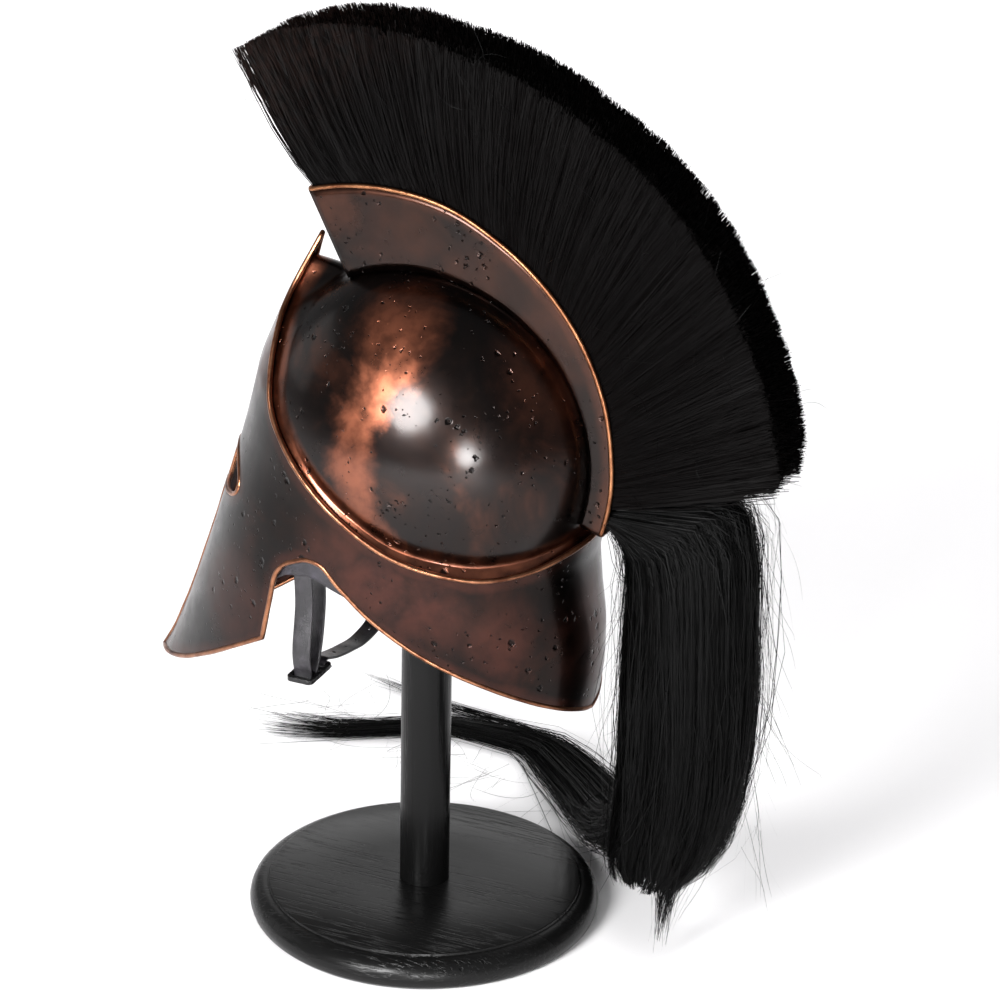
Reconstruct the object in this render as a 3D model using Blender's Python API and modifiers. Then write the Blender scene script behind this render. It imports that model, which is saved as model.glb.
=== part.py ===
"""Crested Greek bronze helmet on a turned wooden stand.

Metres, +Z up. The origin is the centre of the stand's underside and the helmet looks along -Y, so
the wearer's left is +X. The helmet's own pieces are modelled in a helmet frame, centred in the skull
with its Z axis through the crown, and that frame leans back by PITCH_DEG on the stand. The hair and
the chin strap hang straight down, so they are modelled in the world frame.
"""

import math
from collections import namedtuple

import bmesh
import bpy
import numpy as np
from mathutils import Matrix, Vector

# Clearances and sheet sizes
FIT_GAP = 0.0003
FACET_GAP = 0.0008
LINER_GAP = 0.0019
SHEET = 0.0016
RIM_R = 0.0018
RIM_TILT = 0.35
LEATHER = 0.0020

# Helmet: its place, lean and main sizes
SKULL_Y = 0.005
SKULL_Z = 0.358
PITCH_DEG = 20.0
SKULL_R = 0.121
SKULL_HALF_W = 0.095
LIP_STAND = 0.0065
FLANGE_TOP = 0.0070
FLANGE_END = 0.0125
CHEEK_DROP = 0.254
NOSE_RIDGE = 0.004
NOSE_SPREAD_DEG = 16.0

# Face opening
EYE_DROP = 0.078
EYE_UP = 0.020
EYE_DOWN = 0.014
EYE_TILT = 0.008
EYE_END_DEG = 38.0
NASAL_DEG = 6.5
NASAL_DROP = 0.137
NASAL_TIP_RISE = 0.06
NASAL_TAPER = 0.22
SLIT_DEG = 10.5
CHEEK_CORNER_DEG = 58.0

# Crest box and crest
BOX_HALF_W = 0.021
BOX_FRONT_H = 0.061
BOX_FRONT_DEG = -47.0
BOX_REAR_DEG = 88.0
CREST_R = 0.290
CREST_HALF_W = 0.026
CREST_TIP_FRONT_DEG = -50.0
CREST_TIP_REAR_DEG = 66.5
TAIL_ROOT_DEG = 8.0
CREST_LOCKS = 26
LOCK_GROOVE = 0.004

# Tail of hair and the locks that lie on the floor
TAIL_LENGTH = 0.264
TAIL_WIDTH = 0.094
TAIL_HALF_T = 0.027
FLOOR_GAP = 0.001

# Chin strap and its slide buckle
STRAP_W = 0.013
STRAP_Y = -0.050
STRAP_T = 0.0018
STRAP_HOLE_R = 0.0015
STRAP_HOLE_PITCH = 0.018
STRAP_HOLES = 5
STRAP_HANG = 0.010
STRAP_LAP = 0.018
STRAP_TAIL = 0.006
PUNCH_SIDES = 10
LAST_HOLE = 0.022
SLIDE_X = 0.077
SLIDE_Z = 0.203
SLIDE_W = 0.019
SLIDE_T = 0.0036
BAR_W = 0.0036
SLOT_W = 0.0060

# Stand
BASE_R = 0.120
BASE_T = 0.022
GROOVE_R = 0.107
POST_R = 0.017
KNOB_R = 0.042
KNOB_H = 0.036
KNOB_DOME_R = 0.058
KNOB_GAP = 0.0014
BASE_STEPS = 36
POST_STEPS = 24

COLLECTION = "greek_helmet_on_stand"

# The lower wall below the skull: each row is a share of CHEEK_DROP, and then shares of the half
# width, the front depth and the back depth that the wall has level with the skull's centre
Wall = namedtuple("Wall", "drop width front back")
WALL = [
    Wall(0.000, 1.000, 1.000, 1.000),
    Wall(0.100, 0.985, 0.976, 1.020),
    Wall(0.200, 0.972, 0.957, 1.105),
    Wall(0.315, 0.970, 0.942, 1.225),
    Wall(0.435, 0.962, 0.930, 1.305),
    Wall(0.550, 0.935, 0.920, 1.345),
    Wall(0.750, 0.868, 0.914, 1.360),
    Wall(0.905, 0.798, 0.926, 1.360),
    Wall(1.000, 0.755, 0.955, 1.360),
]

# The brow's front above the skull's centre: height as a share of SKULL_R, share of the front depth
Visor = namedtuple("Visor", "height front")
VISOR = [
    Visor(0.000, 1.000),
    Visor(0.310, 0.985),
    Visor(0.510, 0.962),
    Visor(0.735, 0.925),
    Visor(1.000, 0.880),
]

# The lip of the wall, which peaks over the nose: degrees from the brow, height as a share of SKULL_R
Line = namedtuple("Line", "turn height")
LIP = [
    Line(0, 0.735),
    Line(4, 0.600),
    Line(8, 0.450),
    Line(12, 0.370),
    Line(16, 0.330),
    Line(21, 0.290),
    Line(26, 0.235),
    Line(32, 0.145),
    Line(39, 0.040),
    Line(46, -0.060),
    Line(56, -0.140),
    Line(66, -0.205),
    Line(85, -0.300),
    Line(104, -0.355),
    Line(125, -0.320),
    Line(146, -0.215),
    Line(165, -0.090),
    Line(180, -0.030),
]

# The seam where the skull turns out into the flange, given in the same way
SEAM = [
    Line(0, 0.640),
    Line(8, 0.615),
    Line(12, 0.550),
    Line(19, 0.465),
    Line(25, 0.380),
    Line(30, 0.290),
    Line(36, 0.195),
    Line(42, 0.094),
    Line(52, -0.030),
    Line(62, -0.139),
    Line(74, -0.231),
    Line(87, -0.292),
    Line(104, -0.342),
    Line(125, -0.308),
    Line(146, -0.204),
    Line(165, -0.078),
    Line(180, -0.018),
]

# The level between the brow and cheek stretches of the wall, as a share of CHEEK_DROP
Belt = namedtuple("Belt", "turn drop")
BELT = [
    Belt(38, 0.307),
    Belt(60, 0.268),
    Belt(83, 0.222),
    Belt(100, 0.260),
    Belt(125, 0.280),
    Belt(150, 0.260),
    Belt(180, 0.236),
]

# Lower edge: where a wall line that starts at `belt` degrees ends, first the cheek, then the neck
Edge = namedtuple("Edge", "belt turn drop")
CHEEK_EDGE = [
    Edge(10.5, 8.0, 0.992),
    Edge(20, 22.0, 0.955),
    Edge(31, 37.0, 0.890),
    Edge(42, 52.0, 0.785),
    Edge(50, 63.0, 0.690),
    Edge(58, 73.0, 0.598),
]
NECK_EDGE = [
    Edge(58, 73.0, 0.598),
    Edge(62, 72.0, 0.535),
    Edge(66, 71.0, 0.468),
    Edge(69, 70.0, 0.405),
    Edge(71.5, 71.3, 0.364),
    Edge(75, 75.3, 0.325),
    Edge(79, 79.3, 0.299),
    Edge(84, 84.0, 0.290),
    Edge(92, 92.3, 0.322),
    Edge(101, 101.3, 0.362),
    Edge(118, 118.0, 0.408),
    Edge(138, 138.0, 0.437),
    Edge(158, 158.0, 0.466),
    Edge(180, 180.0, 0.500),
]

# Lower edge of the leather liner, as a share of CHEEK_DROP
LINER_EDGE = [
    Belt(48, 0.440),
    Belt(66, 0.440),
    Belt(74, 0.380),
    Belt(84, 0.345),
    Belt(110, 0.345),
    Belt(180, 0.345),
]

# Crest box walls: share of the way from front to rear, height as a share of BOX_FRONT_H
Box = namedtuple("Box", "along height")
BOX = [
    Box(0.00, 1.00),
    Box(0.13, 0.87),
    Box(0.24, 0.75),
    Box(0.35, 0.59),
    Box(0.54, 0.39),
    Box(0.69, 0.28),
    Box(0.84, 0.22),
    Box(1.00, 0.22),
]

# Ends of the hair round the fan: share of the way, distance from the skull's centre over CREST_R
Fan = namedtuple("Fan", "along reach")
FAN = [
    Fan(0.00, 0.980),
    Fan(0.07, 0.992),
    Fan(0.15, 0.986),
    Fan(0.29, 0.950),
    Fan(0.48, 0.915),
    Fan(0.65, 0.893),
    Fan(0.85, 0.872),
    Fan(0.95, 0.872),
    Fan(1.00, 0.865),
]

# The hair across one lock: share of the free length from the box to the end, share of the half width
Swell = namedtuple("Swell", "along width")
SWELL = [Swell(0.06, 0.80), Swell(0.45, 0.96), Swell(0.93, 1.00), Swell(1.00, 0.74)]

# The tail below the crest: its lower and upper outline as shares of TAIL_WIDTH back from the box's
# rear end and of TAIL_LENGTH below it, and its half thickness as a share of TAIL_HALF_T
Fall = namedtuple("Fall", "low_back low_drop high_back high_drop half")
FALL = [
    Fall(0.120, 0.055, 0.490, -0.095, 0.74),
    Fall(0.150, 0.110, 0.890, -0.118, 0.90),
    Fall(0.145, 0.215, 1.050, -0.010, 0.98),
    Fall(0.135, 0.390, 1.080, 0.215, 1.00),
    Fall(0.135, 0.580, 1.100, 0.430, 1.00),
    Fall(0.125, 0.740, 1.090, 0.640, 0.94),
    Fall(0.090, 0.870, 1.020, 0.795, 0.84),
    Fall(0.110, 0.950, 0.900, 0.905, 0.68),
    Fall(0.240, 1.000, 0.720, 0.985, 0.40),
]
TAIL_RIBS = 10
RIB_DEPTH = 0.10

# Locks that leave the tail: centre line in metres, then width and height of the lock there
Lock = namedtuple("Lock", "x y z width height")
FLOOR_LOCK = [
    Lock(-0.004, 0.180, 0.118, 0.040, 0.030),
    Lock(-0.040, 0.152, 0.076, 0.040, 0.026),
    Lock(-0.094, 0.114, 0.036, 0.038, 0.020),
    Lock(-0.150, 0.072, 0.013, 0.034, 0.014),
    Lock(-0.205, 0.024, 0.0065, 0.030, 0.010),
    Lock(-0.243, -0.030, 0.0050, 0.025, 0.0074),
    Lock(-0.243, -0.085, 0.0045, 0.021, 0.0064),
    Lock(-0.222, -0.128, 0.0040, 0.018, 0.0056),
    Lock(-0.202, -0.165, 0.0035, 0.014, 0.0046),
    Lock(-0.198, -0.205, 0.0030, 0.009, 0.0036),
    Lock(-0.206, -0.236, 0.0026, 0.003, 0.0028),
]
SIDE_LOCK = [
    Lock(-0.226, 0.000, 0.0056, 0.012, 0.0056),
    Lock(-0.262, -0.050, 0.0046, 0.010, 0.0052),
    Lock(-0.284, -0.110, 0.0038, 0.008, 0.0044),
    Lock(-0.290, -0.165, 0.0032, 0.005, 0.0036),
    Lock(-0.288, -0.200, 0.0026, 0.002, 0.0026),
]
WISP_LOCK = [
    Lock(0.000, 0.186, 0.110, 0.026, 0.026),
    Lock(0.000, 0.182, 0.070, 0.020, 0.020),
    Lock(0.000, 0.178, 0.038, 0.010, 0.010),
    Lock(0.000, 0.174, 0.004, 0.003, 0.003),
]

# Bends of the straps: how far inwards and how far up or down each lies from the liner or the fold
Bend = namedtuple("Bend", "side height")
NEAR_HANG = Bend(0.002, 0.030)
FAR_HANG = Bend(0.004, 0.030)
FOLD_ENTRY = Bend(0.003, 0.020)
FOLD_EXIT = Bend(0.009, 0.024)
LEAF_LOW = Bend(0.018, 0.022)
LEAF_HIGH = Bend(0.004, 0.002)

# The strap across below the chin: share of the way out from the middle, height above the slide
Sag = namedtuple("Sag", "out height")
SAG = [
    Sag(-0.62, 0.012),
    Sag(-0.30, -0.006),
    Sag(0.00, -0.010),
    Sag(0.26, -0.007),
    Sag(0.52, -0.002),
]

# Turned base, from the axis outwards: radius taken in from BASE_R, height as a share of BASE_T
Turn = namedtuple("Turn", "inset height")
BASE_EDGE = [
    Turn(0.0118, 0.90),
    Turn(0.0095, 0.88),
    Turn(0.0055, 0.80),
    Turn(0.0022, 0.66),
    Turn(0.0005, 0.50),
    Turn(0.0000, 0.36),
    Turn(0.0012, 0.14),
    Turn(0.0040, 0.00),
]


def smooth(x, xs, ys):
    """Value at x of the monotone cubic through the points (xs, ys), held at both ends."""
    xs, ys = np.asarray(xs, float), np.asarray(ys, float)
    step = np.diff(xs)
    rise = np.diff(ys) / step
    slope = np.zeros(len(xs))
    slope[0], slope[-1] = rise[0], rise[-1]
    for k in range(1, len(xs) - 1):
        if rise[k - 1] * rise[k] > 0:
            slope[k] = 2.0 * rise[k - 1] * rise[k] / (rise[k - 1] + rise[k])
    k = int(np.clip(np.searchsorted(xs, x) - 1, 0, len(step) - 1))
    t = float(np.clip((x - xs[k]) / step[k], 0.0, 1.0))
    low = ys[k] * (1 + 2 * t) * (1 - t) ** 2 + ys[k + 1] * t * t * (3 - 2 * t)
    return low + step[k] * (slope[k] * t * (1 - t) ** 2 - slope[k + 1] * t * t * (1 - t))


def column(table, name):
    """One named column of a table."""
    return [getattr(row, name) for row in table]


def lookup(table, x, value, key):
    """A table's value column read smoothly at x of its key column."""
    return smooth(x, column(table, key), column(table, value))


def wall_sizes(z, inset=0.0):
    """Half width, front depth and back depth of the wall at helmet height z, inset inwards."""
    width, depth = SKULL_HALF_W + LIP_STAND, SKULL_R + LIP_STAND
    if z >= 0:
        front = depth * lookup(VISOR, z / SKULL_R, "front", "height") - inset
        round_in = math.sqrt(max(1.0 - (z / (depth - inset)) ** 2, 0.0))
        return (width - inset) * round_in, front, (depth - inset) * round_in
    drop = -z / CHEEK_DROP
    return (
        width * lookup(WALL, drop, "width", "drop") - inset,
        depth * lookup(WALL, drop, "front", "drop") - inset,
        depth * lookup(WALL, drop, "back", "drop") - inset,
    )


def wall_point(turn, z, inset=0.0):
    """A point of the wall, turn degrees from the brow towards the wearer's left, inset inwards."""
    width, front, back = wall_sizes(z, inset)
    angle = math.radians(turn)
    depth = front if math.cos(angle) > 0 else back
    ridge = NOSE_RIDGE * max(0.0, 1.0 - turn / NOSE_SPREAD_DEG) ** 2
    return Vector((width * math.sin(angle), -depth * math.cos(angle) - ridge, z))


def skull_point(turn, polar, inset=0.0):
    """A point of the skull bowl, polar degrees down from the crown."""
    a, p = math.radians(turn), math.radians(polar)
    return Vector((
        (SKULL_HALF_W - inset) * math.sin(p) * math.sin(a),
        -(SKULL_R - inset) * math.sin(p) * math.cos(a),
        (SKULL_R - inset) * math.cos(p),
    ))


def lip_height(turn):
    """Helmet height of the lip."""
    return SKULL_R * lookup(LIP, turn, "height", "turn")


def seam_height(turn):
    """Helmet height of the seam between the skull and its flange."""
    return SKULL_R * lookup(SEAM, turn, "height", "turn")


def flange_levels(turn):
    """Helmet heights of the lip and of the flange's two edges."""
    top = lip_height(turn)
    seat = min(top, seam_height(turn))
    return top, seat - FLANGE_TOP, seat - FLANGE_END


def eye_edge(share, side):
    """Turn and helmet height of the eye's edge, share of the way out, side +1 above and -1 below."""
    start = NASAL_DEG if side > 0 else SLIT_DEG
    close = math.sqrt(max(0.0, 1.0 - share ** 3))
    swell = 0.7 + 0.3 * math.sin(math.pi * share) if side > 0 else 1.0
    middle = -EYE_DROP - EYE_TILT * (1.0 - share)
    half = EYE_UP * swell if side > 0 else EYE_DOWN
    return start + (EYE_END_DEG - start) * share, middle + side * half * close


def belt_height(turn):
    """Helmet height of the belt line behind the eye."""
    return -EYE_DROP if turn <= EYE_END_DEG else -CHEEK_DROP * lookup(BELT, turn, "drop", "turn")


def lower_edge(belt):
    """Turn and helmet height where the wall line from this belt position ends."""
    table = CHEEK_EDGE if belt <= CHEEK_CORNER_DEG else NECK_EDGE
    return lookup(table, belt, "turn", "belt"), -CHEEK_DROP * lookup(table, belt, "drop", "belt")


def spread(start, end, count):
    """Evenly spaced values from start to end, both included."""
    return [start + (end - start) * k / count for k in range(count + 1)]


EYE_SHARES = [math.sin(math.radians(90.0 * k / 6)) for k in range(7)]
SIDE_TURNS = (
    spread(EYE_END_DEG, CHEEK_CORNER_DEG, 3)
    + spread(CHEEK_CORNER_DEG, 84.0, 8)[1:]
    + spread(84.0, 180.0, 9)[1:]
)
BROW_TURNS = [0.0, NASAL_DEG / 2] + [eye_edge(s, 1)[0] for s in EYE_SHARES] + SIDE_TURNS[1:]


def brow_bottom(turn):
    """Helmet height where the brow stretch of the wall ends."""
    if turn >= EYE_END_DEG:
        return belt_height(turn)
    share = max(0.0, (turn - NASAL_DEG) / (EYE_END_DEG - NASAL_DEG))
    return eye_edge(share, 1)[1]


def brow_rows(inset):
    """Columns of the wall from the lip down to the eyes and the belt."""
    columns = []
    for turn in BROW_TURNS:
        top, upper, lower = flange_levels(turn)
        levels = [top, upper] + spread(lower, brow_bottom(turn), 2)
        columns.append([wall_point(turn, z, inset) for z in levels])
    return columns


def cheek_rows(inset):
    """Columns of the wall from the eyes and the belt down to the lower edge."""
    starts = [eye_edge(s, -1) for s in EYE_SHARES]
    starts += [(turn, belt_height(turn)) for turn in SIDE_TURNS[1:]]
    columns = []
    for turn, z in starts:
        end_turn, end_z = lower_edge(turn)
        columns.append([
            wall_point(turn + (end_turn - turn) * s, z + (end_z - z) * s, inset)
            for s in spread(0.0, 1.0, 4)
        ])
    return columns


def nasal_rows(inset):
    """Columns of the nasal tongue below the level of the brow."""
    top = brow_bottom(NASAL_DEG)
    columns = []
    for share in (0.0, 0.5, 1.0):
        tip = NASAL_DROP * (NASAL_TIP_RISE * share ** 2 - 1.0)
        narrow = NASAL_DEG * (1.0 - NASAL_TAPER * share)
        columns.append([
            wall_point(share * (NASAL_DEG + (narrow - NASAL_DEG) * s), top + (tip - top) * s, inset)
            for s in spread(0.0, 1.0, 3)
        ])
    return columns


def mirrored(points):
    """The same points on the wearer's right, in reverse order."""
    return [Vector((-p.x, p.y, p.z)) for p in reversed(points)]


def whole_loop(half):
    """A closed loop from a half that starts and ends in the plane of symmetry."""
    return half + mirrored(half)[1:-1]


def bottom_loop(inset):
    """The wall's lower edge: nasal, eye, slit, cheek and neck, on both sides."""
    nasal, brow, cheek = nasal_rows(inset), brow_rows(inset), cheek_rows(inset)
    half = [c[-1] for c in nasal]
    half += nasal[-1][-2:0:-1]
    first_eye = 2
    upper = [brow[first_eye + k][-1] for k in range(len(EYE_SHARES))]
    lower = [cheek[k][0] for k in range(len(EYE_SHARES) - 1)]
    half += upper + lower[::-1] + cheek[0][1:-1]
    half += [c[-1] for c in cheek]
    return whole_loop(half)


def lip_loop(inset):
    """The lip of the wall, round the skull."""
    return whole_loop([c[0] for c in brow_rows(inset)])


def to_world(point):
    """A helmet-frame point in the world."""
    return helmet_matrix() @ Vector(point)


def helmet_matrix():
    """The helmet frame's place on the stand."""
    return Matrix.Translation((0.0, SKULL_Y, SKULL_Z)) @ Matrix.Rotation(-math.radians(PITCH_DEG), 4, "X")


# Scene, material and mesh helpers

def clear_scene():
    """Remove what the scene holds."""
    for item in list(bpy.data.objects):
        bpy.data.objects.remove(item, do_unlink=True)


def collection(name):
    """A new collection in the scene."""
    made = bpy.data.collections.new(name)
    bpy.context.scene.collection.children.link(made)
    return made


def material(name, colour, roughness, metallic=0.0):
    """A Principled material of one colour."""
    mat = bpy.data.materials.new(name)
    mat.use_nodes = True
    shader = mat.node_tree.nodes["Principled BSDF"]
    shader.inputs["Base Color"].default_value = (*colour, 1.0)
    shader.inputs["Roughness"].default_value = roughness
    shader.inputs["Metallic"].default_value = metallic
    return mat


def add_mesh(name, bm, where, mat=None):
    """Turn a bmesh into a named object with outward faces."""
    bmesh.ops.remove_doubles(bm, verts=bm.verts, dist=1e-6)
    bmesh.ops.recalc_face_normals(bm, faces=bm.faces)
    mesh = bpy.data.meshes.new(name)
    bm.to_mesh(mesh)
    bm.free()
    obj = bpy.data.objects.new(name, mesh)
    where.objects.link(obj)
    if mat is not None:
        mesh.materials.append(mat)
    mesh.shade_smooth()
    mesh.set_sharp_from_angle(angle=math.radians(40))
    return obj


def add_grid(bm, columns, closed=False):
    """Quads between neighbouring columns of points, which all have the same length."""
    verts = [[bm.verts.new(p) for p in line] for line in columns]
    pairs = list(zip(verts, verts[1:]))
    if closed:
        pairs.append((verts[-1], verts[0]))
    for left, right in pairs:
        for k in range(len(left) - 1):
            bm.faces.new((left[k], left[k + 1], right[k + 1], right[k]))
    return verts


def add_loft(bm, sections):
    """A closed solid through sections, each a closed ring of points, with flat ends."""
    rings = [[bm.verts.new(p) for p in ring] for ring in sections]
    count = len(rings[0])
    for first, second in zip(rings, rings[1:]):
        for k in range(count):
            n = (k + 1) % count
            bm.faces.new((first[k], first[n], second[n], second[k]))
    bm.faces.new(rings[0][::-1])
    bm.faces.new(rings[-1])


def solidify(obj, thickness):
    """Give an open surface its thickness, half to each side."""
    mod = obj.modifiers.new("sheet", "SOLIDIFY")
    mod.thickness = thickness
    mod.offset = 0.0
    mod.use_even_offset = True


def mirror_x(obj):
    """Add the other side of a half that is open at the plane of symmetry."""
    mod = obj.modifiers.new("other_side", "MIRROR")
    mod.merge_threshold = 0.00005
    mod.use_clip = True


def hide_cutter(obj):
    """Mark an object as a construction aid."""
    obj.hide_render = True
    obj.display_type = "WIRE"


def combine(obj, other, operation="UNION"):
    """Join or cut with another closed object, which stays in the cutters' collection."""
    mod = obj.modifiers.new(other.name, "BOOLEAN")
    mod.operation = operation
    mod.solver = "EXACT"
    mod.object = other


def curve_mesh(curve):
    """The mesh that a curve draws, its seams welded, as a bmesh."""
    drawn = bpy.data.objects.new("drawn", curve)
    bpy.context.scene.collection.objects.link(drawn)
    graph = bpy.context.evaluated_depsgraph_get()
    mesh = bpy.data.meshes.new_from_object(drawn.evaluated_get(graph))
    bpy.data.objects.remove(drawn, do_unlink=True)
    bm = bmesh.new()
    bm.from_mesh(mesh)
    bpy.data.meshes.remove(mesh)
    bmesh.ops.remove_doubles(bm, verts=bm.verts, dist=1e-5)
    return bm


def rim_tube(name, points, radius, where):
    """A closed wire through the points, as a mesh."""
    curve = bpy.data.curves.new(name, "CURVE")
    curve.dimensions = "3D"
    curve.bevel_depth = radius
    curve.bevel_resolution = 0
    spline = curve.splines.new("POLY")
    spline.points.add(len(points) - 1)
    for slot, p in zip(spline.points, points):
        slot.co = (*p, 1.0)
        slot.tilt = RIM_TILT
    spline.use_cyclic_u = True
    obj = add_mesh(name, curve_mesh(curve), where)
    hide_cutter(obj)
    return obj


# Helmet pieces

def build_skull_bowl(where, frame, mat):
    """The raised bowl, with a turned-out flange that seats inside the lower wall."""
    turns = BROW_TURNS + [360.0 - t for t in reversed(BROW_TURNS[1:-1])]
    inside = SHEET + 2 * FIT_GAP + SHEET / 2
    columns = []
    for turn in turns:
        half = turn if turn <= 180.0 else 360.0 - turn
        upper, lower = flange_levels(half)[1:]
        last = math.degrees(math.acos(seam_height(half) / SKULL_R))
        line = [skull_point(half, polar, SHEET / 2) for polar in spread(0.0, last, 7)]
        line += [wall_point(half, upper, inside), wall_point(half, lower, inside)]
        if turn > 180.0:
            line = [Vector((-p.x, p.y, p.z)) for p in line]
        columns.append(line)
    bm = bmesh.new()
    add_grid(bm, columns, closed=True)
    bmesh.ops.remove_doubles(bm, verts=bm.verts, dist=1e-6)
    obj = add_mesh("skull_bowl", bm, where, mat)
    solidify(obj, SHEET)
    obj.parent = frame
    return obj


def build_lower_wall(where, cutters, frame, mat):
    """Brow, nasal, cheeks and neck guard in one sheet, with rolled rims round both edges."""
    bm = bmesh.new()
    for columns in (brow_rows(SHEET / 2), cheek_rows(SHEET / 2), nasal_rows(SHEET / 2)):
        add_grid(bm, columns)
    obj = add_mesh("face_and_neck_guard", bm, where, mat)
    mirror_x(obj)
    solidify(obj, SHEET)
    for name, points in (("lip_rim", lip_loop(SHEET / 2)), ("edge_rim", bottom_loop(SHEET / 2))):
        rim = rim_tube(name, points, RIM_R, cutters)
        rim.parent = frame
        combine(obj, rim)
    obj.parent = frame
    return obj


def build_liner(where, frame, mat):
    """The leather band inside the sides and the back."""
    inset = SHEET + LINER_GAP + LEATHER / 2
    turns = spread(EYE_END_DEG + 10.0, 84.0, 6) + spread(84.0, 180.0, 12)[1:]
    turns += [360.0 - t for t in reversed(turns[:-1])]
    columns = []
    for turn in turns:
        half = min(turn, 360.0 - turn)
        top = belt_height(half) - LEATHER
        bottom = -CHEEK_DROP * lookup(LINER_EDGE, half, "drop", "turn")
        line = [wall_point(half, z, inset) for z in spread(top, bottom, 3)]
        if turn > 180.0:
            line = [Vector((-p.x, p.y, p.z)) for p in line]
        columns.append(line)
    bm = bmesh.new()
    add_grid(bm, columns)
    obj = add_mesh("liner_band", bm, where, mat)
    solidify(obj, LEATHER)
    obj.parent = frame
    return obj


def crest_point(x, angle, radius):
    """A point at a side offset, degrees back from the crown and distance from the skull's centre."""
    a = math.radians(angle)
    return Vector((x, radius * math.sin(a), radius * math.cos(a)))


def skull_top(x):
    """Distance of the bowl's outer face from the side-to-side axis, at a side offset."""
    return SKULL_R * math.sqrt(1.0 - (x / SKULL_HALF_W) ** 2)


def box_rim(share):
    """Distance of the crest box's rim from the skull's centre."""
    return SKULL_R + BOX_FRONT_H * lookup(BOX, share, "height", "along")


def build_crest_box(where, cutters, frame, mat):
    """A trough along the skull's midline that holds the hair, with a rolled rim."""
    seat = FIT_GAP + FACET_GAP / 4 + SHEET / 2
    columns, left = [], []
    for share in spread(0.0, 1.0, 22):
        angle = BOX_FRONT_DEG + (BOX_REAR_DEG - BOX_FRONT_DEG) * share
        rim = box_rim(share)
        line = [crest_point(-BOX_HALF_W, angle, rim)]
        for x in spread(-BOX_HALF_W, BOX_HALF_W, 4):
            line.append(crest_point(x, angle, skull_top(x) + seat))
        line.append(crest_point(BOX_HALF_W, angle, rim))
        columns.append(line)
        left.append(line[0])
    bm = bmesh.new()
    verts = add_grid(bm, columns)
    bm.faces.new(verts[0])
    bm.faces.new(verts[-1][::-1])
    obj = add_mesh("crest_box", bm, where, mat)
    solidify(obj, SHEET)
    corner = 2.0 * RIM_R
    ends = []
    for line, inward in ((left[-1], left[-2]), (left[0], left[1])):
        along = (inward - line).normalized()
        ends.append((line + along * corner, line + Vector((corner, 0.0, 0.0))))
    path = [ends[1][0]] + left[2:-2] + [ends[0][0], ends[0][1]]
    loop = path + [Vector((-p.x, p.y, p.z)) for p in reversed(path)] + [ends[1][1]]
    loop.insert(-1, Vector((-ends[1][1].x, ends[1][1].y, ends[1][1].z)))
    rim = rim_tube("box_rim", loop, RIM_R, cutters)
    rim.parent = frame
    combine(obj, rim)
    obj.parent = frame
    return obj


def hair_half_width():
    """Half width of the hair where it stands between the box's rolled rims."""
    return BOX_HALF_W - RIM_R - FIT_GAP


def hair_root():
    """Distance of the hair's roots from the skull's centre, on the box's floor."""
    return SKULL_R + FIT_GAP + FACET_GAP / 4 + SHEET + FIT_GAP


def build_crest(where, frame, mat):
    """The fan of stiff hair: locks side by side on a backing strip in the box."""
    side = hair_half_width()
    root_front = BOX_FRONT_DEG + math.degrees((SHEET + RIM_R) / SKULL_R)
    root_rear = BOX_REAR_DEG - TAIL_ROOT_DEG
    sections = []
    for k in range(2 * CREST_LOCKS + 1):
        share = k / (2 * CREST_LOCKS)
        groove = LOCK_GROOVE * (k % 2)
        root_deg = root_front + (root_rear - root_front) * share
        tip_deg = CREST_TIP_FRONT_DEG + (CREST_TIP_REAR_DEG - CREST_TIP_FRONT_DEG) * share
        box_share = (root_deg - BOX_FRONT_DEG) / (BOX_REAR_DEG - BOX_FRONT_DEG)
        rim = box_rim(box_share) + RIM_R + FIT_GAP
        root = crest_point(0.0, root_deg, hair_root())
        start = crest_point(0.0, root_deg, rim)
        reach = CREST_R * lookup(FAN, share, "reach", "along") - 1.5 * groove
        tip = crest_point(0.0, tip_deg, reach)
        half = [(side, root), (side, start)]
        for row in SWELL:
            width = CREST_HALF_W * row.width - groove / 2
            half.append((max(width, side if row.along < 0.1 else 0.0), start.lerp(tip, row.along)))
        right = [p + Vector((w, 0.0, 0.0)) for w, p in half]
        sections.append(right + [Vector((-p.x, p.y, p.z)) for p in reversed(right)])
    bm = bmesh.new()
    add_loft(bm, sections)
    obj = add_mesh("crest_plume", bm, where, mat)
    obj.parent = frame
    return obj


def oval(centre, long_axis, half_long, half_short, ribs, depth):
    """A ribbed oval ring about a centre, its short axis along X."""
    ring = []
    for k in range(2 * ribs):
        angle = math.pi * k / ribs
        reach = 1.0 - depth * (k % 2)
        ring.append(
            centre
            + long_axis * (half_long * reach * math.cos(angle))
            + Vector((half_short * reach * math.sin(angle), 0.0, 0.0))
        )
    return ring


def lock_sections(lock, sides=8):
    """Rings along a lock: flat ovals across its centre line."""
    centres = [Vector((row.x, row.y, row.z)) for row in lock]
    rings = []
    for k, row in enumerate(lock):
        ahead = centres[min(k + 1, len(lock) - 1)] - centres[max(k - 1, 0)]
        ahead.normalize()
        across = ahead.cross(Vector((0.0, 0.0, 1.0)))
        if across.length < 0.3:
            across = Vector((1.0, 0.0, 0.0))
        across.normalize()
        up = across.cross(ahead).normalized()
        ring = []
        for n in range(sides):
            angle = 2.0 * math.pi * (n + 0.5) / sides
            shift = across * (row.width / 2 * math.cos(angle)) + up * (row.height / 2 * math.sin(angle))
            point = centres[k] + shift
            point.z = max(point.z, FLOOR_GAP)
            ring.append(point)
        rings.append(ring)
    return rings


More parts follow.
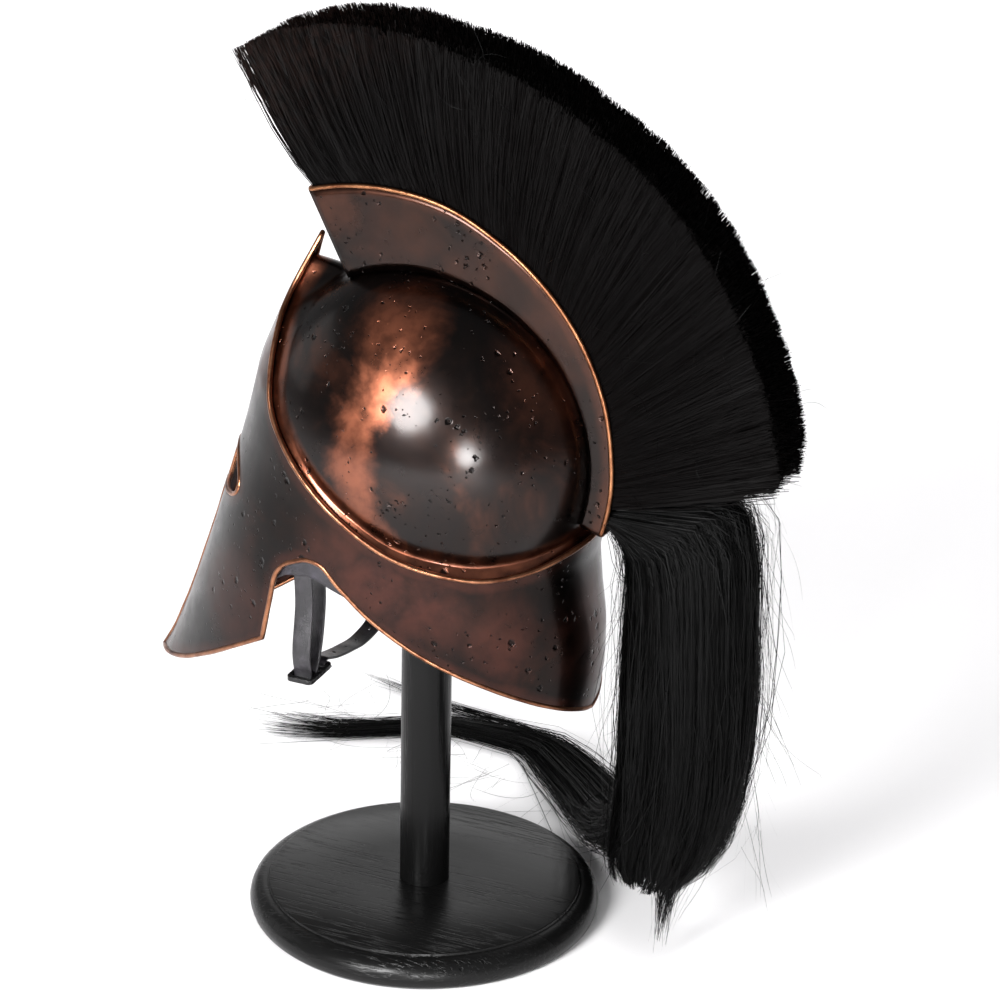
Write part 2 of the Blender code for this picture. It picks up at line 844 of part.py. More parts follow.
def build_tail(where, cutters, mat):
    """The long hair from the box's rear end, with the locks that reach and lie on the floor."""
    side = hair_half_width()
    low_deg = BOX_REAR_DEG - math.degrees((SHEET + RIM_R) / SKULL_R)
    high_deg = BOX_REAR_DEG - TAIL_ROOT_DEG + math.degrees(FACET_GAP / SKULL_R)
    out = box_rim(1.0) + RIM_R + FIT_GAP
    anchor = to_world(crest_point(0.0, BOX_REAR_DEG, box_rim(1.0)))
    outline = []
    for radius in (hair_root(), out):
        outline.append((
            to_world(crest_point(0.0, low_deg, radius)),
            to_world(crest_point(0.0, high_deg, radius)),
            side,
        ))
    for row in FALL:
        low = anchor + Vector((0.0, row.low_back * TAIL_WIDTH, -row.low_drop * TAIL_LENGTH))
        high = anchor + Vector((0.0, row.high_back * TAIL_WIDTH, -row.high_drop * TAIL_LENGTH))
        outline.append((low, high, row.half * TAIL_HALF_T))
    sections = []
    for k, (low, high, half) in enumerate(outline):
        across = high - low
        depth = 0.0 if k < 2 else RIB_DEPTH
        middle = (low + high) / 2
        sections.append(oval(middle, across.normalized(), across.length / 2, half, TAIL_RIBS, depth))
    bm = bmesh.new()
    add_loft(bm, sections)
    obj = add_mesh("tail_plume", bm, where, mat)
    for name, lock in (("floor_lock", FLOOR_LOCK), ("side_lock", SIDE_LOCK), ("wisp_lock", WISP_LOCK)):
        bm = bmesh.new()
        add_loft(bm, lock_sections(lock))
        piece = add_mesh(name, bm, cutters)
        hide_cutter(piece)
        combine(obj, piece)
    return obj


# Chin strap

def rounded_path(points, count):
    """Points along a smooth curve through the given ones."""
    points = [Vector(p) for p in points]
    chain = [points[0] * 2 - points[1]] + points + [points[-1] * 2 - points[-2]]
    path = []
    for k in range(1, len(chain) - 2):
        a, b, c, d = chain[k - 1:k + 3]
        for n in range(count):
            t = n / count
            path.append(0.5 * (
                2 * b + (c - a) * t + (2 * a - 5 * b + 4 * c - d) * t * t
                + (3 * b - a - 3 * c + d) * t ** 3
            ))
    path.append(points[-1])
    return path


def build_ribbon(name, path, where, mat):
    """A flat strap along a path, its width along Y."""
    half = Vector((0.0, STRAP_W / 2, 0.0))
    bm = bmesh.new()
    add_grid(bm, [[p - half, p + half] for p in path])
    obj = add_mesh(name, bm, where, mat)
    solidify(obj, STRAP_T)
    return obj


def liner_x(y, z):
    """Side offset of the liner's inner face at a world height and distance back."""
    point = helmet_matrix().inverted() @ Vector((0.0, y, z))
    width, front, back = wall_sizes(point.z, SHEET + LINER_GAP + LEATHER)
    depth = front if point.y < 0 else back
    return width * math.sqrt(max(1.0 - (point.y / depth) ** 2, 0.0))


def strap_top():
    """Side offset and height where the strap's ends lie against the liner."""
    belt = to_world(wall_point(80.0, belt_height(80.0)))
    top = belt.z - STRAP_HANG
    low = top - STRAP_LAP
    x = min(liner_x(STRAP_Y - STRAP_W / 2, z) for z in (top, low))
    return x - 1.1 * FIT_GAP - STRAP_T / 2, top, low


def slide_rests():
    """Offsets along X of the slide's four bars from its centre."""
    pitch = BAR_W + SLOT_W
    return -1.5 * pitch, -0.5 * pitch, 0.5 * pitch, 1.5 * pitch


def fold(centre_x, start_deg, end_deg):
    """The turn that a strap takes round a bar of the slide, as points in its middle plane."""
    radius = math.hypot(BAR_W / 2, SLIDE_T / 2) + FIT_GAP + STRAP_T / 2
    points = []
    for angle in spread(math.radians(start_deg), math.radians(end_deg), 8):
        x = centre_x + radius * math.cos(angle)
        points.append(Vector((x, STRAP_Y, SLIDE_Z + radius * math.sin(angle))))
    return points


def strap_run(points, count=3):
    """A smooth stretch of strap through points given as side offset and height."""
    return rounded_path([(x, STRAP_Y, z) for x, z in points], count)


def build_near_strap(where, mat):
    """The folded strap on the wearer's left, down from the liner, round a bar and up again."""
    x, top, low = strap_top()
    inner = x - STRAP_T - 2 * FIT_GAP
    turn = fold(SLIDE_X + slide_rests()[2], 0.0, -180.0)
    down = [(x, top), (x, low), (x - NEAR_HANG.side, low - NEAR_HANG.height)]
    down.append((turn[0].x + FOLD_ENTRY.side, turn[0].z + FOLD_ENTRY.height))
    down.append((turn[0].x, turn[0].z + FACET_GAP))
    up = [(turn[-1].x, turn[-1].z + FACET_GAP)]
    up.append((turn[-1].x - FOLD_EXIT.side, turn[-1].z + FOLD_EXIT.height))
    up.append((inner - LEAF_LOW.side, low - LEAF_LOW.height))
    up.append((inner - LEAF_HIGH.side, low - LEAF_HIGH.height))
    up += [(inner, low + STRAP_LAP / 3), (inner, top - STRAP_LAP / 4)]
    return build_ribbon("chin_strap_left", strap_run(down) + turn + strap_run(up), where, mat)


def build_far_strap(where, cutters, mat):
    """The holed strap from the wearer's right, across below the chin and folded round an end bar."""
    x, top, low = strap_top()
    turn = fold(SLIDE_X + slide_rests()[0], 90.0, -90.0)
    down = [(-x, top), (-x, low), (-x + FAR_HANG.side, low - FAR_HANG.height)]
    across = [(row.out * x, SLIDE_Z + row.height) for row in SAG]
    across.append((turn[0].x - FACET_GAP, turn[0].z))
    end = [Vector((turn[-1].x - STRAP_TAIL, STRAP_Y, turn[-1].z - FIT_GAP))]
    route = strap_run(down + across)
    obj = build_ribbon("chin_strap_right", route + turn + end, where, mat)
    flat = strap_run(across, 24)
    for k in range(STRAP_HOLES):
        want = turn[0].x - LAST_HOLE - k * STRAP_HOLE_PITCH
        n = min(range(1, len(flat) - 1), key=lambda i: abs(flat[i].x - want))
        normal = (flat[n + 1] - flat[n - 1]).cross(Vector((0.0, 1.0, 0.0)))
        spin = normal.to_track_quat("Z", "Y").to_matrix().to_4x4()
        bm = bmesh.new()
        bmesh.ops.create_cone(
            bm, cap_ends=True, segments=PUNCH_SIDES, radius1=STRAP_HOLE_R, radius2=STRAP_HOLE_R,
            depth=6 * STRAP_T, matrix=Matrix.Translation(flat[n]) @ spin,
        )
        punch = add_mesh(f"strap_punch_{k + 1}", bm, cutters)
        hide_cutter(punch)
        combine(obj, punch, "DIFFERENCE")
    return obj


def rounded_box(half_x, half_y, radius, centre_x=0.0, steps=4):
    """Points round a rectangle with rounded corners."""
    points = []
    for quarter, (sx, sy) in enumerate(((1, 1), (-1, 1), (-1, -1), (1, -1))):
        for angle in spread(90.0 * quarter, 90.0 * quarter + 90.0, steps):
            a = math.radians(angle)
            x = centre_x + sx * (half_x - radius) + radius * math.cos(a)
            points.append((x, sy * (half_y - radius) + radius * math.sin(a)))
    return points


def flat_plate(name, outlines, thickness, where, mat):
    """A flat plate from its outline and the outlines of its holes."""
    curve = bpy.data.curves.new(name, "CURVE")
    curve.dimensions = "2D"
    curve.fill_mode = "BOTH"
    curve.extrude = thickness / 2
    for outline in outlines:
        spline = curve.splines.new("POLY")
        spline.points.add(len(outline) - 1)
        for slot, (x, y) in zip(spline.points, outline):
            slot.co = (x, y, 0.0, 1.0)
        spline.use_cyclic_u = True
    return add_mesh(name, curve_mesh(curve), where, mat)


def build_slide(where, mat):
    """The black slide buckle: four bars with three slots, rounded at the ends."""
    bars = slide_rests()
    outlines = [rounded_box(bars[-1] + BAR_W / 2, SLIDE_W / 2, SLIDE_W / 5)]
    for first, second in zip(bars, bars[1:]):
        half = (SLOT_W / 2, STRAP_W / 2 + 2 * FIT_GAP)
        outlines.append(rounded_box(*half, SLOT_W / 8, (first + second) / 2, 2))
    obj = flat_plate("strap_slide", outlines, SLIDE_T, where, mat)
    obj.location = (SLIDE_X, STRAP_Y, SLIDE_Z)
    return obj


# Stand

def turned(name, profile, steps, where, mat):
    """A turned solid from a profile of radius and height that runs from the top to the bottom."""
    mesh = bpy.data.meshes.new(name)
    mesh.from_pydata([(r, 0.0, z) for r, z in profile], [(k, k + 1) for k in range(len(profile) - 1)], [])
    obj = bpy.data.objects.new(name, mesh)
    where.objects.link(obj)
    mesh.materials.append(mat)
    mod = obj.modifiers.new("turning", "SCREW")
    mod.steps = steps
    mod.render_steps = steps
    mod.use_merge_vertices = True
    mod.merge_threshold = 0.00002
    mod.use_smooth_shade = True
    return obj


def build_base(where, mat):
    """The round base: a flat top inside a moulded edge."""
    profile = [(0.0, BASE_T), (GROOVE_R, BASE_T)]
    profile += [(BASE_R - row.inset, BASE_T * row.height) for row in BASE_EDGE]
    profile.append((0.0, 0.0))
    return turned("stand_base", profile, BASE_STEPS, where, mat)


def build_post(where, mat):
    """The round post, with the wooden knob inside the skull that the helmet sits on."""
    inner = SKULL_R - SHEET
    top = SKULL_Z + math.sqrt(inner ** 2 - SKULL_Y ** 2) - KNOB_GAP
    dome = [(r, top - KNOB_DOME_R + math.sqrt(KNOB_DOME_R ** 2 - r ** 2)) for r in spread(0.0, KNOB_R, 4)]
    profile = dome + [(KNOB_R, top - 0.75 * KNOB_H), (0.85 * KNOB_R, top - KNOB_H), (POST_R, top - KNOB_H)]
    profile += [(POST_R, BASE_T + FIT_GAP), (0.0, BASE_T + FIT_GAP)]
    return turned("stand_post", profile, POST_STEPS, where, mat)


def main():
    """Build every piece."""
    clear_scene()
    parts = collection(COLLECTION)
    cutters = collection("cutters")
    frame = bpy.data.objects.new("helmet_frame", None)
    parts.objects.link(frame)
    frame.matrix_world = helmet_matrix()
    bronze = material("patinated_bronze", (0.13, 0.075, 0.055), 0.28, 0.95)
    bowl_bronze = material("dark_bronze", (0.11, 0.070, 0.055), 0.24, 0.95)
    box_bronze = material("crest_bronze", (0.16, 0.080, 0.050), 0.30, 0.95)
    hair = material("black_horsehair", (0.012, 0.011, 0.012), 0.45)
    tail_hair = material("long_black_horsehair", (0.012, 0.011, 0.012), 0.42)
    leather = material("black_leather", (0.020, 0.018, 0.020), 0.50)
    strap_leather = material("strap_leather", (0.018, 0.017, 0.020), 0.45)
    buckle = material("black_lacquered_steel", (0.012, 0.012, 0.012), 0.35, 0.2)
    wood = material("black_painted_wood", (0.014, 0.014, 0.015), 0.38)
    post_wood = material("black_painted_post", (0.016, 0.016, 0.017), 0.40)
    build_skull_bowl(parts, frame, bowl_bronze)
    build_lower_wall(parts, cutters, frame, bronze)
    build_liner(parts, frame, leather)
    build_crest_box(parts, cutters, frame, box_bronze)
    build_crest(parts, frame, hair)
    build_tail(parts, cutters, tail_hair)
    build_near_strap(parts, strap_leather)
    build_far_strap(parts, cutters, strap_leather)
    build_slide(parts, buckle)
    build_base(parts, wood)
    build_post(parts, post_wood)


main()
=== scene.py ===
"""Looks of a crested Greek bronze helmet on a turned wooden stand.

Metres, +Z up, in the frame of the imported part: the origin is the centre of the stand's underside and
the helmet looks along -Y, so the wearer's left is +X. The metal is drawn again on finer meshes from the
same sizes as the solids, the leather gets its thickness and edges, and the hair is drawn strand by
strand.
"""

import logging
import math
from collections.abc import Sequence
from dataclasses import dataclass
from enum import Enum

import bmesh
import bpy
import numpy as np
from mathutils import Matrix, Vector
from mathutils.kdtree import KDTree


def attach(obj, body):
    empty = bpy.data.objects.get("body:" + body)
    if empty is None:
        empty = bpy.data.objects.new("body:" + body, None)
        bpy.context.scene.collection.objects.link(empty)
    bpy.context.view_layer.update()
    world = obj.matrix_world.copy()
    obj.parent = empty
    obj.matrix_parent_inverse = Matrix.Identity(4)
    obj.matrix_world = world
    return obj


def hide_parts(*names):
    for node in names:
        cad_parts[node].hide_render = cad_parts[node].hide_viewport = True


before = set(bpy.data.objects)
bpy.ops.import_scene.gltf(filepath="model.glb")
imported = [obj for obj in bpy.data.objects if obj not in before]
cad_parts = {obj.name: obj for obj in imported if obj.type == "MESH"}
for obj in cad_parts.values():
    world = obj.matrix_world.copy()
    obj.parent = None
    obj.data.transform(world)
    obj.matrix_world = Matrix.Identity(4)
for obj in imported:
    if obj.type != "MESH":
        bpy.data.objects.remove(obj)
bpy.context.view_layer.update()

LOG = logging.getLogger("helmet")
BODY = "root"

Array = np.ndarray
Object = bpy.types.Object
Material = bpy.types.Material
Tree = bpy.types.NodeTree
Node = bpy.types.Node
Socket = bpy.types.NodeSocket


# Numbers and points

class Profile:
    """A smooth line through stations, which doesn't overshoot them and is held at both ends."""

    def __init__(self, *stations: tuple[float, float]) -> None:
        """Work out the slope at each station.

        Args:
            stations: pairs of position and value, in rising order of position.
        """
        self.x, self.y = (np.array(values, float) for values in zip(*stations))
        rise = np.diff(self.y) / np.diff(self.x)
        same_way = rise[:-1] * rise[1:] > 0
        total = np.where(same_way, rise[:-1] + rise[1:], 1.0)
        middle = np.where(same_way, 2.0 * rise[:-1] * rise[1:] / total, 0.0)
        self.slope = np.concatenate((rise[:1], middle, rise[-1:]))

    def __call__(self, x: float | Array) -> Array:
        """Read the line.

        Args:
            x: one position or many.

        Returns:
            The values there.
        """
        x = np.clip(x, self.x[0], self.x[-1])
        k = np.clip(np.searchsorted(self.x, x) - 1, 0, len(self.x) - 2)
        step = self.x[k + 1] - self.x[k]
        t = (x - self.x[k]) / step
        low = self.y[k] * (1 + 2 * t) * (1 - t) ** 2 + self.y[k + 1] * t * t * (3 - 2 * t)
        return low + step * (self.slope[k] * t * (1 - t) ** 2 - self.slope[k + 1] * t * t * (1 - t))


def spread(start: float, end: float, count: int) -> Array:
    """Evenly spaced values from start to end, both included, with count steps."""
    return np.linspace(start, end, count + 1)


def stack(x: float | Array, y: float | Array, z: float | Array) -> Array:
    """Join three coordinates, single or many, into points."""
    return np.stack(np.broadcast_arrays(x, y, z), axis=-1)


def unit(vectors: Array) -> Array:
    """Scale vectors to length one."""
    return vectors / np.maximum(np.linalg.norm(vectors, axis=-1, keepdims=True), 1e-9)


def mirrored(points: Array) -> Array:
    """The same points on the wearer's right, in reverse order."""
    return points[::-1] * np.array((-1.0, 1.0, 1.0))


def whole_loop(half: Array) -> Array:
    """Close a half loop that starts and ends in the plane of symmetry."""
    return np.concatenate((half, mirrored(half)[1:-1]))


# Form of the helmet, in a frame centred in the skull with its Z axis through the crown

@dataclass(frozen=True)
class HelmetForm:
    """Sizes of the metal and the surfaces that they give."""

    centre: tuple[float, float, float] = (0.0, 0.005, 0.358)
    pitch_deg: float = 20.0
    sheet: float = 0.0016
    fit_gap: float = 0.0003
    facet_gap: float = 0.0008
    rim_r: float = 0.0018
    skull_r: float = 0.121
    skull_half_w: float = 0.095
    lip_stand: float = 0.0065
    flange_top: float = 0.0070
    flange_end: float = 0.0125
    cheek_drop: float = 0.254
    nose_ridge: float = 0.004
    nose_spread_deg: float = 16.0
    eye_drop: float = 0.078
    eye_up: float = 0.020
    eye_down: float = 0.014
    eye_tilt: float = 0.008
    eye_end_deg: float = 38.0
    nasal_deg: float = 6.5
    nasal_drop: float = 0.137
    nasal_tip_rise: float = 0.06
    nasal_taper: float = 0.22
    slit_deg: float = 10.5
    cheek_corner_deg: float = 58.0
    box_half_w: float = 0.021
    box_front_h: float = 0.061
    box_front_deg: float = -47.0
    box_rear_deg: float = 88.0
    wall_width: Profile = Profile(
        (0.000, 1.000), (0.100, 0.985), (0.200, 0.972), (0.315, 0.970), (0.435, 0.962),
        (0.550, 0.935), (0.750, 0.868), (0.905, 0.798), (1.000, 0.755),
    )
    wall_front: Profile = Profile(
        (0.000, 1.000), (0.100, 0.976), (0.200, 0.957), (0.315, 0.942), (0.435, 0.930),
        (0.550, 0.920), (0.750, 0.914), (0.905, 0.926), (1.000, 0.955),
    )
    wall_back: Profile = Profile(
        (0.000, 1.000), (0.100, 1.020), (0.200, 1.105), (0.315, 1.225), (0.435, 1.305),
        (0.550, 1.345), (0.750, 1.360), (0.905, 1.360), (1.000, 1.360),
    )
    visor: Profile = Profile((0.0, 1.0), (0.310, 0.985), (0.510, 0.962), (0.735, 0.925), (1.0, 0.880))
    lip: Profile = Profile(
        (0, 0.735), (4, 0.600), (8, 0.450), (12, 0.370), (16, 0.330), (21, 0.290), (26, 0.235),
        (32, 0.145), (39, 0.040), (46, -0.060), (56, -0.140), (66, -0.205), (85, -0.300),
        (104, -0.355), (125, -0.320), (146, -0.215), (165, -0.090), (180, -0.030),
    )
    seam: Profile = Profile(
        (0, 0.640), (8, 0.615), (12, 0.550), (19, 0.465), (25, 0.380), (30, 0.290), (36, 0.195),
        (42, 0.094), (52, -0.030), (62, -0.139), (74, -0.231), (87, -0.292), (104, -0.342),
        (125, -0.308), (146, -0.204), (165, -0.078), (180, -0.018),
    )
    belt: Profile = Profile(
        (38, 0.307), (60, 0.268), (83, 0.222), (100, 0.260), (125, 0.280), (150, 0.260), (180, 0.236),
    )
    cheek_turn: Profile = Profile(
        (10.5, 8.0), (20, 22.0), (31, 37.0), (42, 52.0), (50, 63.0), (58, 73.0),
    )
    cheek_edge: Profile = Profile(
        (10.5, 0.992), (20, 0.955), (31, 0.890), (42, 0.785), (50, 0.690), (58, 0.598),
    )
    neck_turn: Profile = Profile(
        (58, 73.0), (62, 72.0), (66, 71.0), (69, 70.0), (71.5, 71.3), (75, 75.3), (79, 79.3),
        (84, 84.0), (92, 92.3), (101, 101.3), (118, 118.0), (138, 138.0), (158, 158.0), (180, 180.0),
    )
    neck_edge: Profile = Profile(
        (58, 0.598), (62, 0.535), (66, 0.468), (69, 0.405), (71.5, 0.364), (75, 0.325), (79, 0.299),
        (84, 0.290), (92, 0.322), (101, 0.362), (118, 0.408), (138, 0.437), (158, 0.466), (180, 0.500),
    )
    liner_edge: Profile = Profile((48, 0.440), (66, 0.440), (74, 0.380), (84, 0.345), (180, 0.345))
    box_height: Profile = Profile(
        (0.00, 1.00), (0.13, 0.87), (0.24, 0.75), (0.35, 0.59), (0.54, 0.39), (0.69, 0.28),
        (0.84, 0.22), (1.00, 0.22),
    )

    def to_world(self, points: Array) -> Array:
        """Move points from the helmet's frame to the world.

        Args:
            points: points in the helmet frame.

        Returns:
            The same points in the world.
        """
        p = math.radians(self.pitch_deg)
        turn = np.array(((1, 0, 0), (0, math.cos(p), math.sin(p)), (0, -math.sin(p), math.cos(p))))
        return points @ turn.T + np.array(self.centre)

    def wall_sizes(self, z: Array, inset: float) -> tuple[Array, Array, Array]:
        """Half width, front depth and back depth of the lower wall.

        Args:
            z: helmet heights.
            inset: distance inwards from the outer face.

        Returns:
            The three sizes at each height.
        """
        z = np.asarray(z, float)
        width, depth = self.skull_half_w + self.lip_stand, self.skull_r + self.lip_stand
        round_in = np.sqrt(np.maximum(1.0 - (np.maximum(z, 0.0) / (depth - inset)) ** 2, 0.0))
        drop = np.maximum(-z, 0.0) / self.cheek_drop
        above = z >= 0
        visor = self.visor(np.maximum(z, 0.0) / self.skull_r)
        return (
            np.where(above, (width - inset) * round_in, width * self.wall_width(drop) - inset),
            np.where(above, depth * visor, depth * self.wall_front(drop)) - inset,
            np.where(above, (depth - inset) * round_in, depth * self.wall_back(drop) - inset),
        )

    def wall_point(self, turn: float | Array, z: float | Array, inset: float = 0.0) -> Array:
        """Points of the lower wall.

        Args:
            turn: degrees from the brow towards the wearer's left.
            z: helmet heights.
            inset: distance inwards from the outer face.

        Returns:
            Points in the helmet frame.
        """
        turn, z = np.broadcast_arrays(np.asarray(turn, float), np.asarray(z, float))
        width, front, back = self.wall_sizes(z, inset)
        angle = np.radians(turn)
        depth = np.where(np.cos(angle) > 0, front, back)
        ridge = self.nose_ridge * np.maximum(0.0, 1.0 - turn / self.nose_spread_deg) ** 2
        return stack(width * np.sin(angle), -depth * np.cos(angle) - ridge, z)

    def skull_point(self, turn: float | Array, polar: Array, inset: float) -> Array:
        """Points of the skull bowl.

        Args:
            turn: degrees from the brow towards the wearer's left.
            polar: degrees down from the crown.
            inset: distance inwards from the outer face.

        Returns:
            Points in the helmet frame.
        """
        a, p = np.radians(turn), np.radians(polar)
        half_w, r = self.skull_half_w - inset, self.skull_r - inset
        return stack(half_w * np.sin(p) * np.sin(a), -r * np.sin(p) * np.cos(a), r * np.cos(p))

    def lip_height(self, turn: float | Array) -> Array:
        """Helmet height of the lip where the skull meets the wall."""
        return self.skull_r * self.lip(turn)

    def flange_levels(self, turn: float) -> tuple[float, float, float]:
        """Heights of the turned-out flange.

        Args:
            turn: degrees from the brow towards the wearer's left.

        Returns:
            Helmet heights of the skull's seam, and of the flange's upper and lower edge.
        """
        seam = self.skull_r * float(self.seam(turn))
        seat = min(seam, float(self.lip_height(turn)))
        return seam, seat - self.flange_top, seat - self.flange_end

    def eye_edge(self, share: Array, side: int) -> tuple[Array, Array]:
        """Edge of the eye opening.

        Args:
            share: share of the way from the nose to the eye's outer corner.
            side: +1 for the upper edge, -1 for the lower one.

        Returns:
            The turn and the helmet height.
        """
        start = self.nasal_deg if side > 0 else self.slit_deg
        close = np.sqrt(np.maximum(0.0, 1.0 - share ** 3))
        swell = 0.7 + 0.3 * np.sin(np.pi * share) if side > 0 else 1.0
        middle = -self.eye_drop - self.eye_tilt * (1.0 - share)
        half = self.eye_up * swell if side > 0 else self.eye_down
        return start + (self.eye_end_deg - start) * share, middle + side * half * close

    def lower_edge(self, belt: Array) -> tuple[Array, Array]:
        """Where the wall's lines end below.

        Args:
            belt: turn of each line where it leaves the belt.

        Returns:
            The turn and the helmet height of its end.
        """
        on_cheek = belt <= self.cheek_corner_deg
        turn = np.where(on_cheek, self.cheek_turn(belt), self.neck_turn(belt))
        drop = np.where(on_cheek, self.cheek_edge(belt), self.neck_edge(belt))
        return turn, -self.cheek_drop * drop

    def box_rim(self, share: float | Array) -> Array:
        """Distance of the crest box's rim from the skull's centre, share of the way back."""
        return self.skull_r + self.box_front_h * self.box_height(share)

    def fan_point(self, x: float | Array, angle: float | Array, radius: float | Array) -> Array:
        """Points at a side offset, degrees back from the crown and distance from the skull's centre."""
        a = np.radians(angle)
        return stack(x, radius * np.sin(a), radius * np.cos(a))

    def side_turns(self) -> Array:
        """Places of the wall's columns behind the eye.

        Returns:
            Their turns, from the eye's corner to the nape.
        """
        front = spread(self.eye_end_deg, self.cheek_corner_deg, 14)
        notch = spread(self.cheek_corner_deg, 84.0, 40)[1:]
        return np.concatenate((front, notch, spread(84.0, 180.0, 56)[1:]))

    def eye_shares(self) -> Array:
        """Shares along the eye, close together at its outer corner."""
        return np.sin(np.radians(spread(0.0, 90.0, 26)))

    def brow_columns(self, inset: float) -> Array:
        """Upper part of the wall, from the lip down to the eyes and the belt.

        Args:
            inset: distance inwards from the outer face.

        Returns:
            Columns of points.
        """
        eyes, sides = self.eye_shares(), self.side_turns()
        over_eye, edge = self.eye_edge(eyes, 1)
        nose = spread(0.0, self.nasal_deg, 10)[:-1]
        turns = np.concatenate((nose, over_eye, sides[1:]))
        bottoms = np.concatenate((
            np.full(len(nose), edge[0]), edge, -self.cheek_drop * self.belt(sides[1:]),
        ))
        tops = self.lip_height(turns)
        levels = tops[:, None] + (bottoms - tops)[:, None] * spread(0.0, 1.0, 22)[None, :]
        return self.wall_point(turns[:, None], levels, inset)

    def cheek_columns(self, inset: float) -> Array:
        """Lower part of the wall, from the eyes and the belt down to the lower edge.

        Args:
            inset: distance inwards from the outer face.

        Returns:
            Columns of points.
        """
        sides = self.side_turns()
        under_eye, edge = self.eye_edge(self.eye_shares(), -1)
        turns = np.concatenate((under_eye, sides[1:]))
        tops = np.concatenate((edge, -self.cheek_drop * self.belt(sides[1:])))
        end_turns, end_z = self.lower_edge(turns)
        share = spread(0.0, 1.0, 40)[None, :]
        turn = turns[:, None] + (end_turns - turns)[:, None] * share
        return self.wall_point(turn, tops[:, None] + (end_z - tops)[:, None] * share, inset)

    def nasal_columns(self, inset: float) -> Array:
        """Nasal tongue, below the level of the brow.

        Args:
            inset: distance inwards from the outer face.

        Returns:
            Columns of points.
        """
        top = self.eye_edge(np.array(0.0), 1)[1]
        share = spread(0.0, 1.0, 10)[:, None]
        down = spread(0.0, 1.0, 18)[None, :]
        tip = -self.nasal_drop + self.nasal_tip_rise * self.nasal_drop * share ** 2
        narrow = self.nasal_deg * (1.0 - self.nasal_taper * share)
        turn = share * (self.nasal_deg + (narrow - self.nasal_deg) * down)
        return self.wall_point(turn, top + (tip - top) * down, inset)

    def edge_loop(self, inset: float) -> Array:
        """Lower edge of the wall: nasal, eye, slit, cheek and neck, on both sides.

        Args:
            inset: distance inwards from the outer face.

        Returns:
            Points of the closed edge.
        """
        nasal, brow, cheek = (f(inset) for f in (self.nasal_columns, self.brow_columns, self.cheek_columns))
        eyes = len(self.eye_shares())
        first = len(nasal) - 1
        half = np.concatenate((
            nasal[:, -1],
            nasal[-1][-2:0:-1],
            brow[first:first + eyes, -1],
            cheek[:eyes - 1, 0][::-1],
            cheek[0][1:-1],
            cheek[:, -1],
        ))
        return whole_loop(half)

    def lip_loop(self, inset: float) -> Array:
        """The lip of the wall, round the skull."""
        return whole_loop(self.brow_columns(inset)[:, 0])


# Mesh and object helpers

def mesh_object(name: str, points: Array, faces: Sequence[Sequence[int]] | Array) -> Object:
    """Make an object with smooth faces.

    Args:
        name: name of the piece.
        points: all its points.
        faces: corner numbers of each face, as a list or as an array with four columns.

    Returns:
        The new object, in the scene.
    """
    mesh = bpy.data.meshes.new(name)
    if isinstance(faces, np.ndarray):
        mesh.vertices.add(len(points))
        mesh.vertices.foreach_set("co", points.astype(np.float32).ravel())
        mesh.loops.add(faces.size)
        mesh.loops.foreach_set("vertex_index", faces.astype(np.int32).ravel())
        mesh.polygons.add(len(faces))
        mesh.polygons.foreach_set("loop_start", np.arange(0, faces.size, faces.shape[1], dtype=np.int32))
        mesh.update(calc_edges=True)
        mesh.validate()
    else:
        mesh.from_pydata([tuple(p) for p in points], [], faces)
    mesh.shade_smooth()
    obj = bpy.data.objects.new(name, mesh)
    bpy.context.scene.collection.objects.link(obj)
    return obj


def grid_faces(columns: int, rows: int, first: int = 0, closed: bool = False) -> Array:
    """Corner numbers of the quads of a grid of points.

    Args:
        columns: number of columns of points.
        rows: points in each column.
        first: number of the grid's first point.
        closed: whether the last column joins the first.

    Returns:
        One row of four corner numbers for each quad.
    """
    count = columns if closed else columns - 1
    c, r = (g.ravel() for g in np.meshgrid(np.arange(count), np.arange(rows - 1), indexing="ij"))
    n = (c + 1) % columns
    return first + np.stack((c * rows + r, c * rows + r + 1, n * rows + r + 1, n * rows + r), axis=1)


def grids_object(name: str, grids: Sequence[Array], mirror: bool, closed: bool = False) -> Object:
    """Join grids of points into one mesh, welded where they touch.

    Args:
        name: name of the piece.
        grids: arrays of columns of points.
        mirror: whether to add each grid's other side.
        closed: whether the last column of each grid joins its first.

    Returns:
        The new object.
    """
    points, faces, first = [], [], 0
    for grid in grids:
        sides = [grid]
        if mirror:
            sides.append(grid[::-1] * np.array((-1.0, 1.0, 1.0)))
        for side in sides:
            points.append(side.reshape(-1, 3))
            faces.append(grid_faces(side.shape[0], side.shape[1], first, closed))
            first += side.shape[0] * side.shape[1]
    obj = mesh_object(name, np.concatenate(points), np.concatenate(faces))
    bm = bmesh.new()
    bm.from_mesh(obj.data)
    bmesh.ops.remove_doubles(bm, verts=bm.verts, dist=2e-5)
    bmesh.ops.recalc_face_normals(bm, faces=bm.faces)
    bm.to_mesh(obj.data)
    bm.free()
    obj.data.shade_smooth()
    return obj


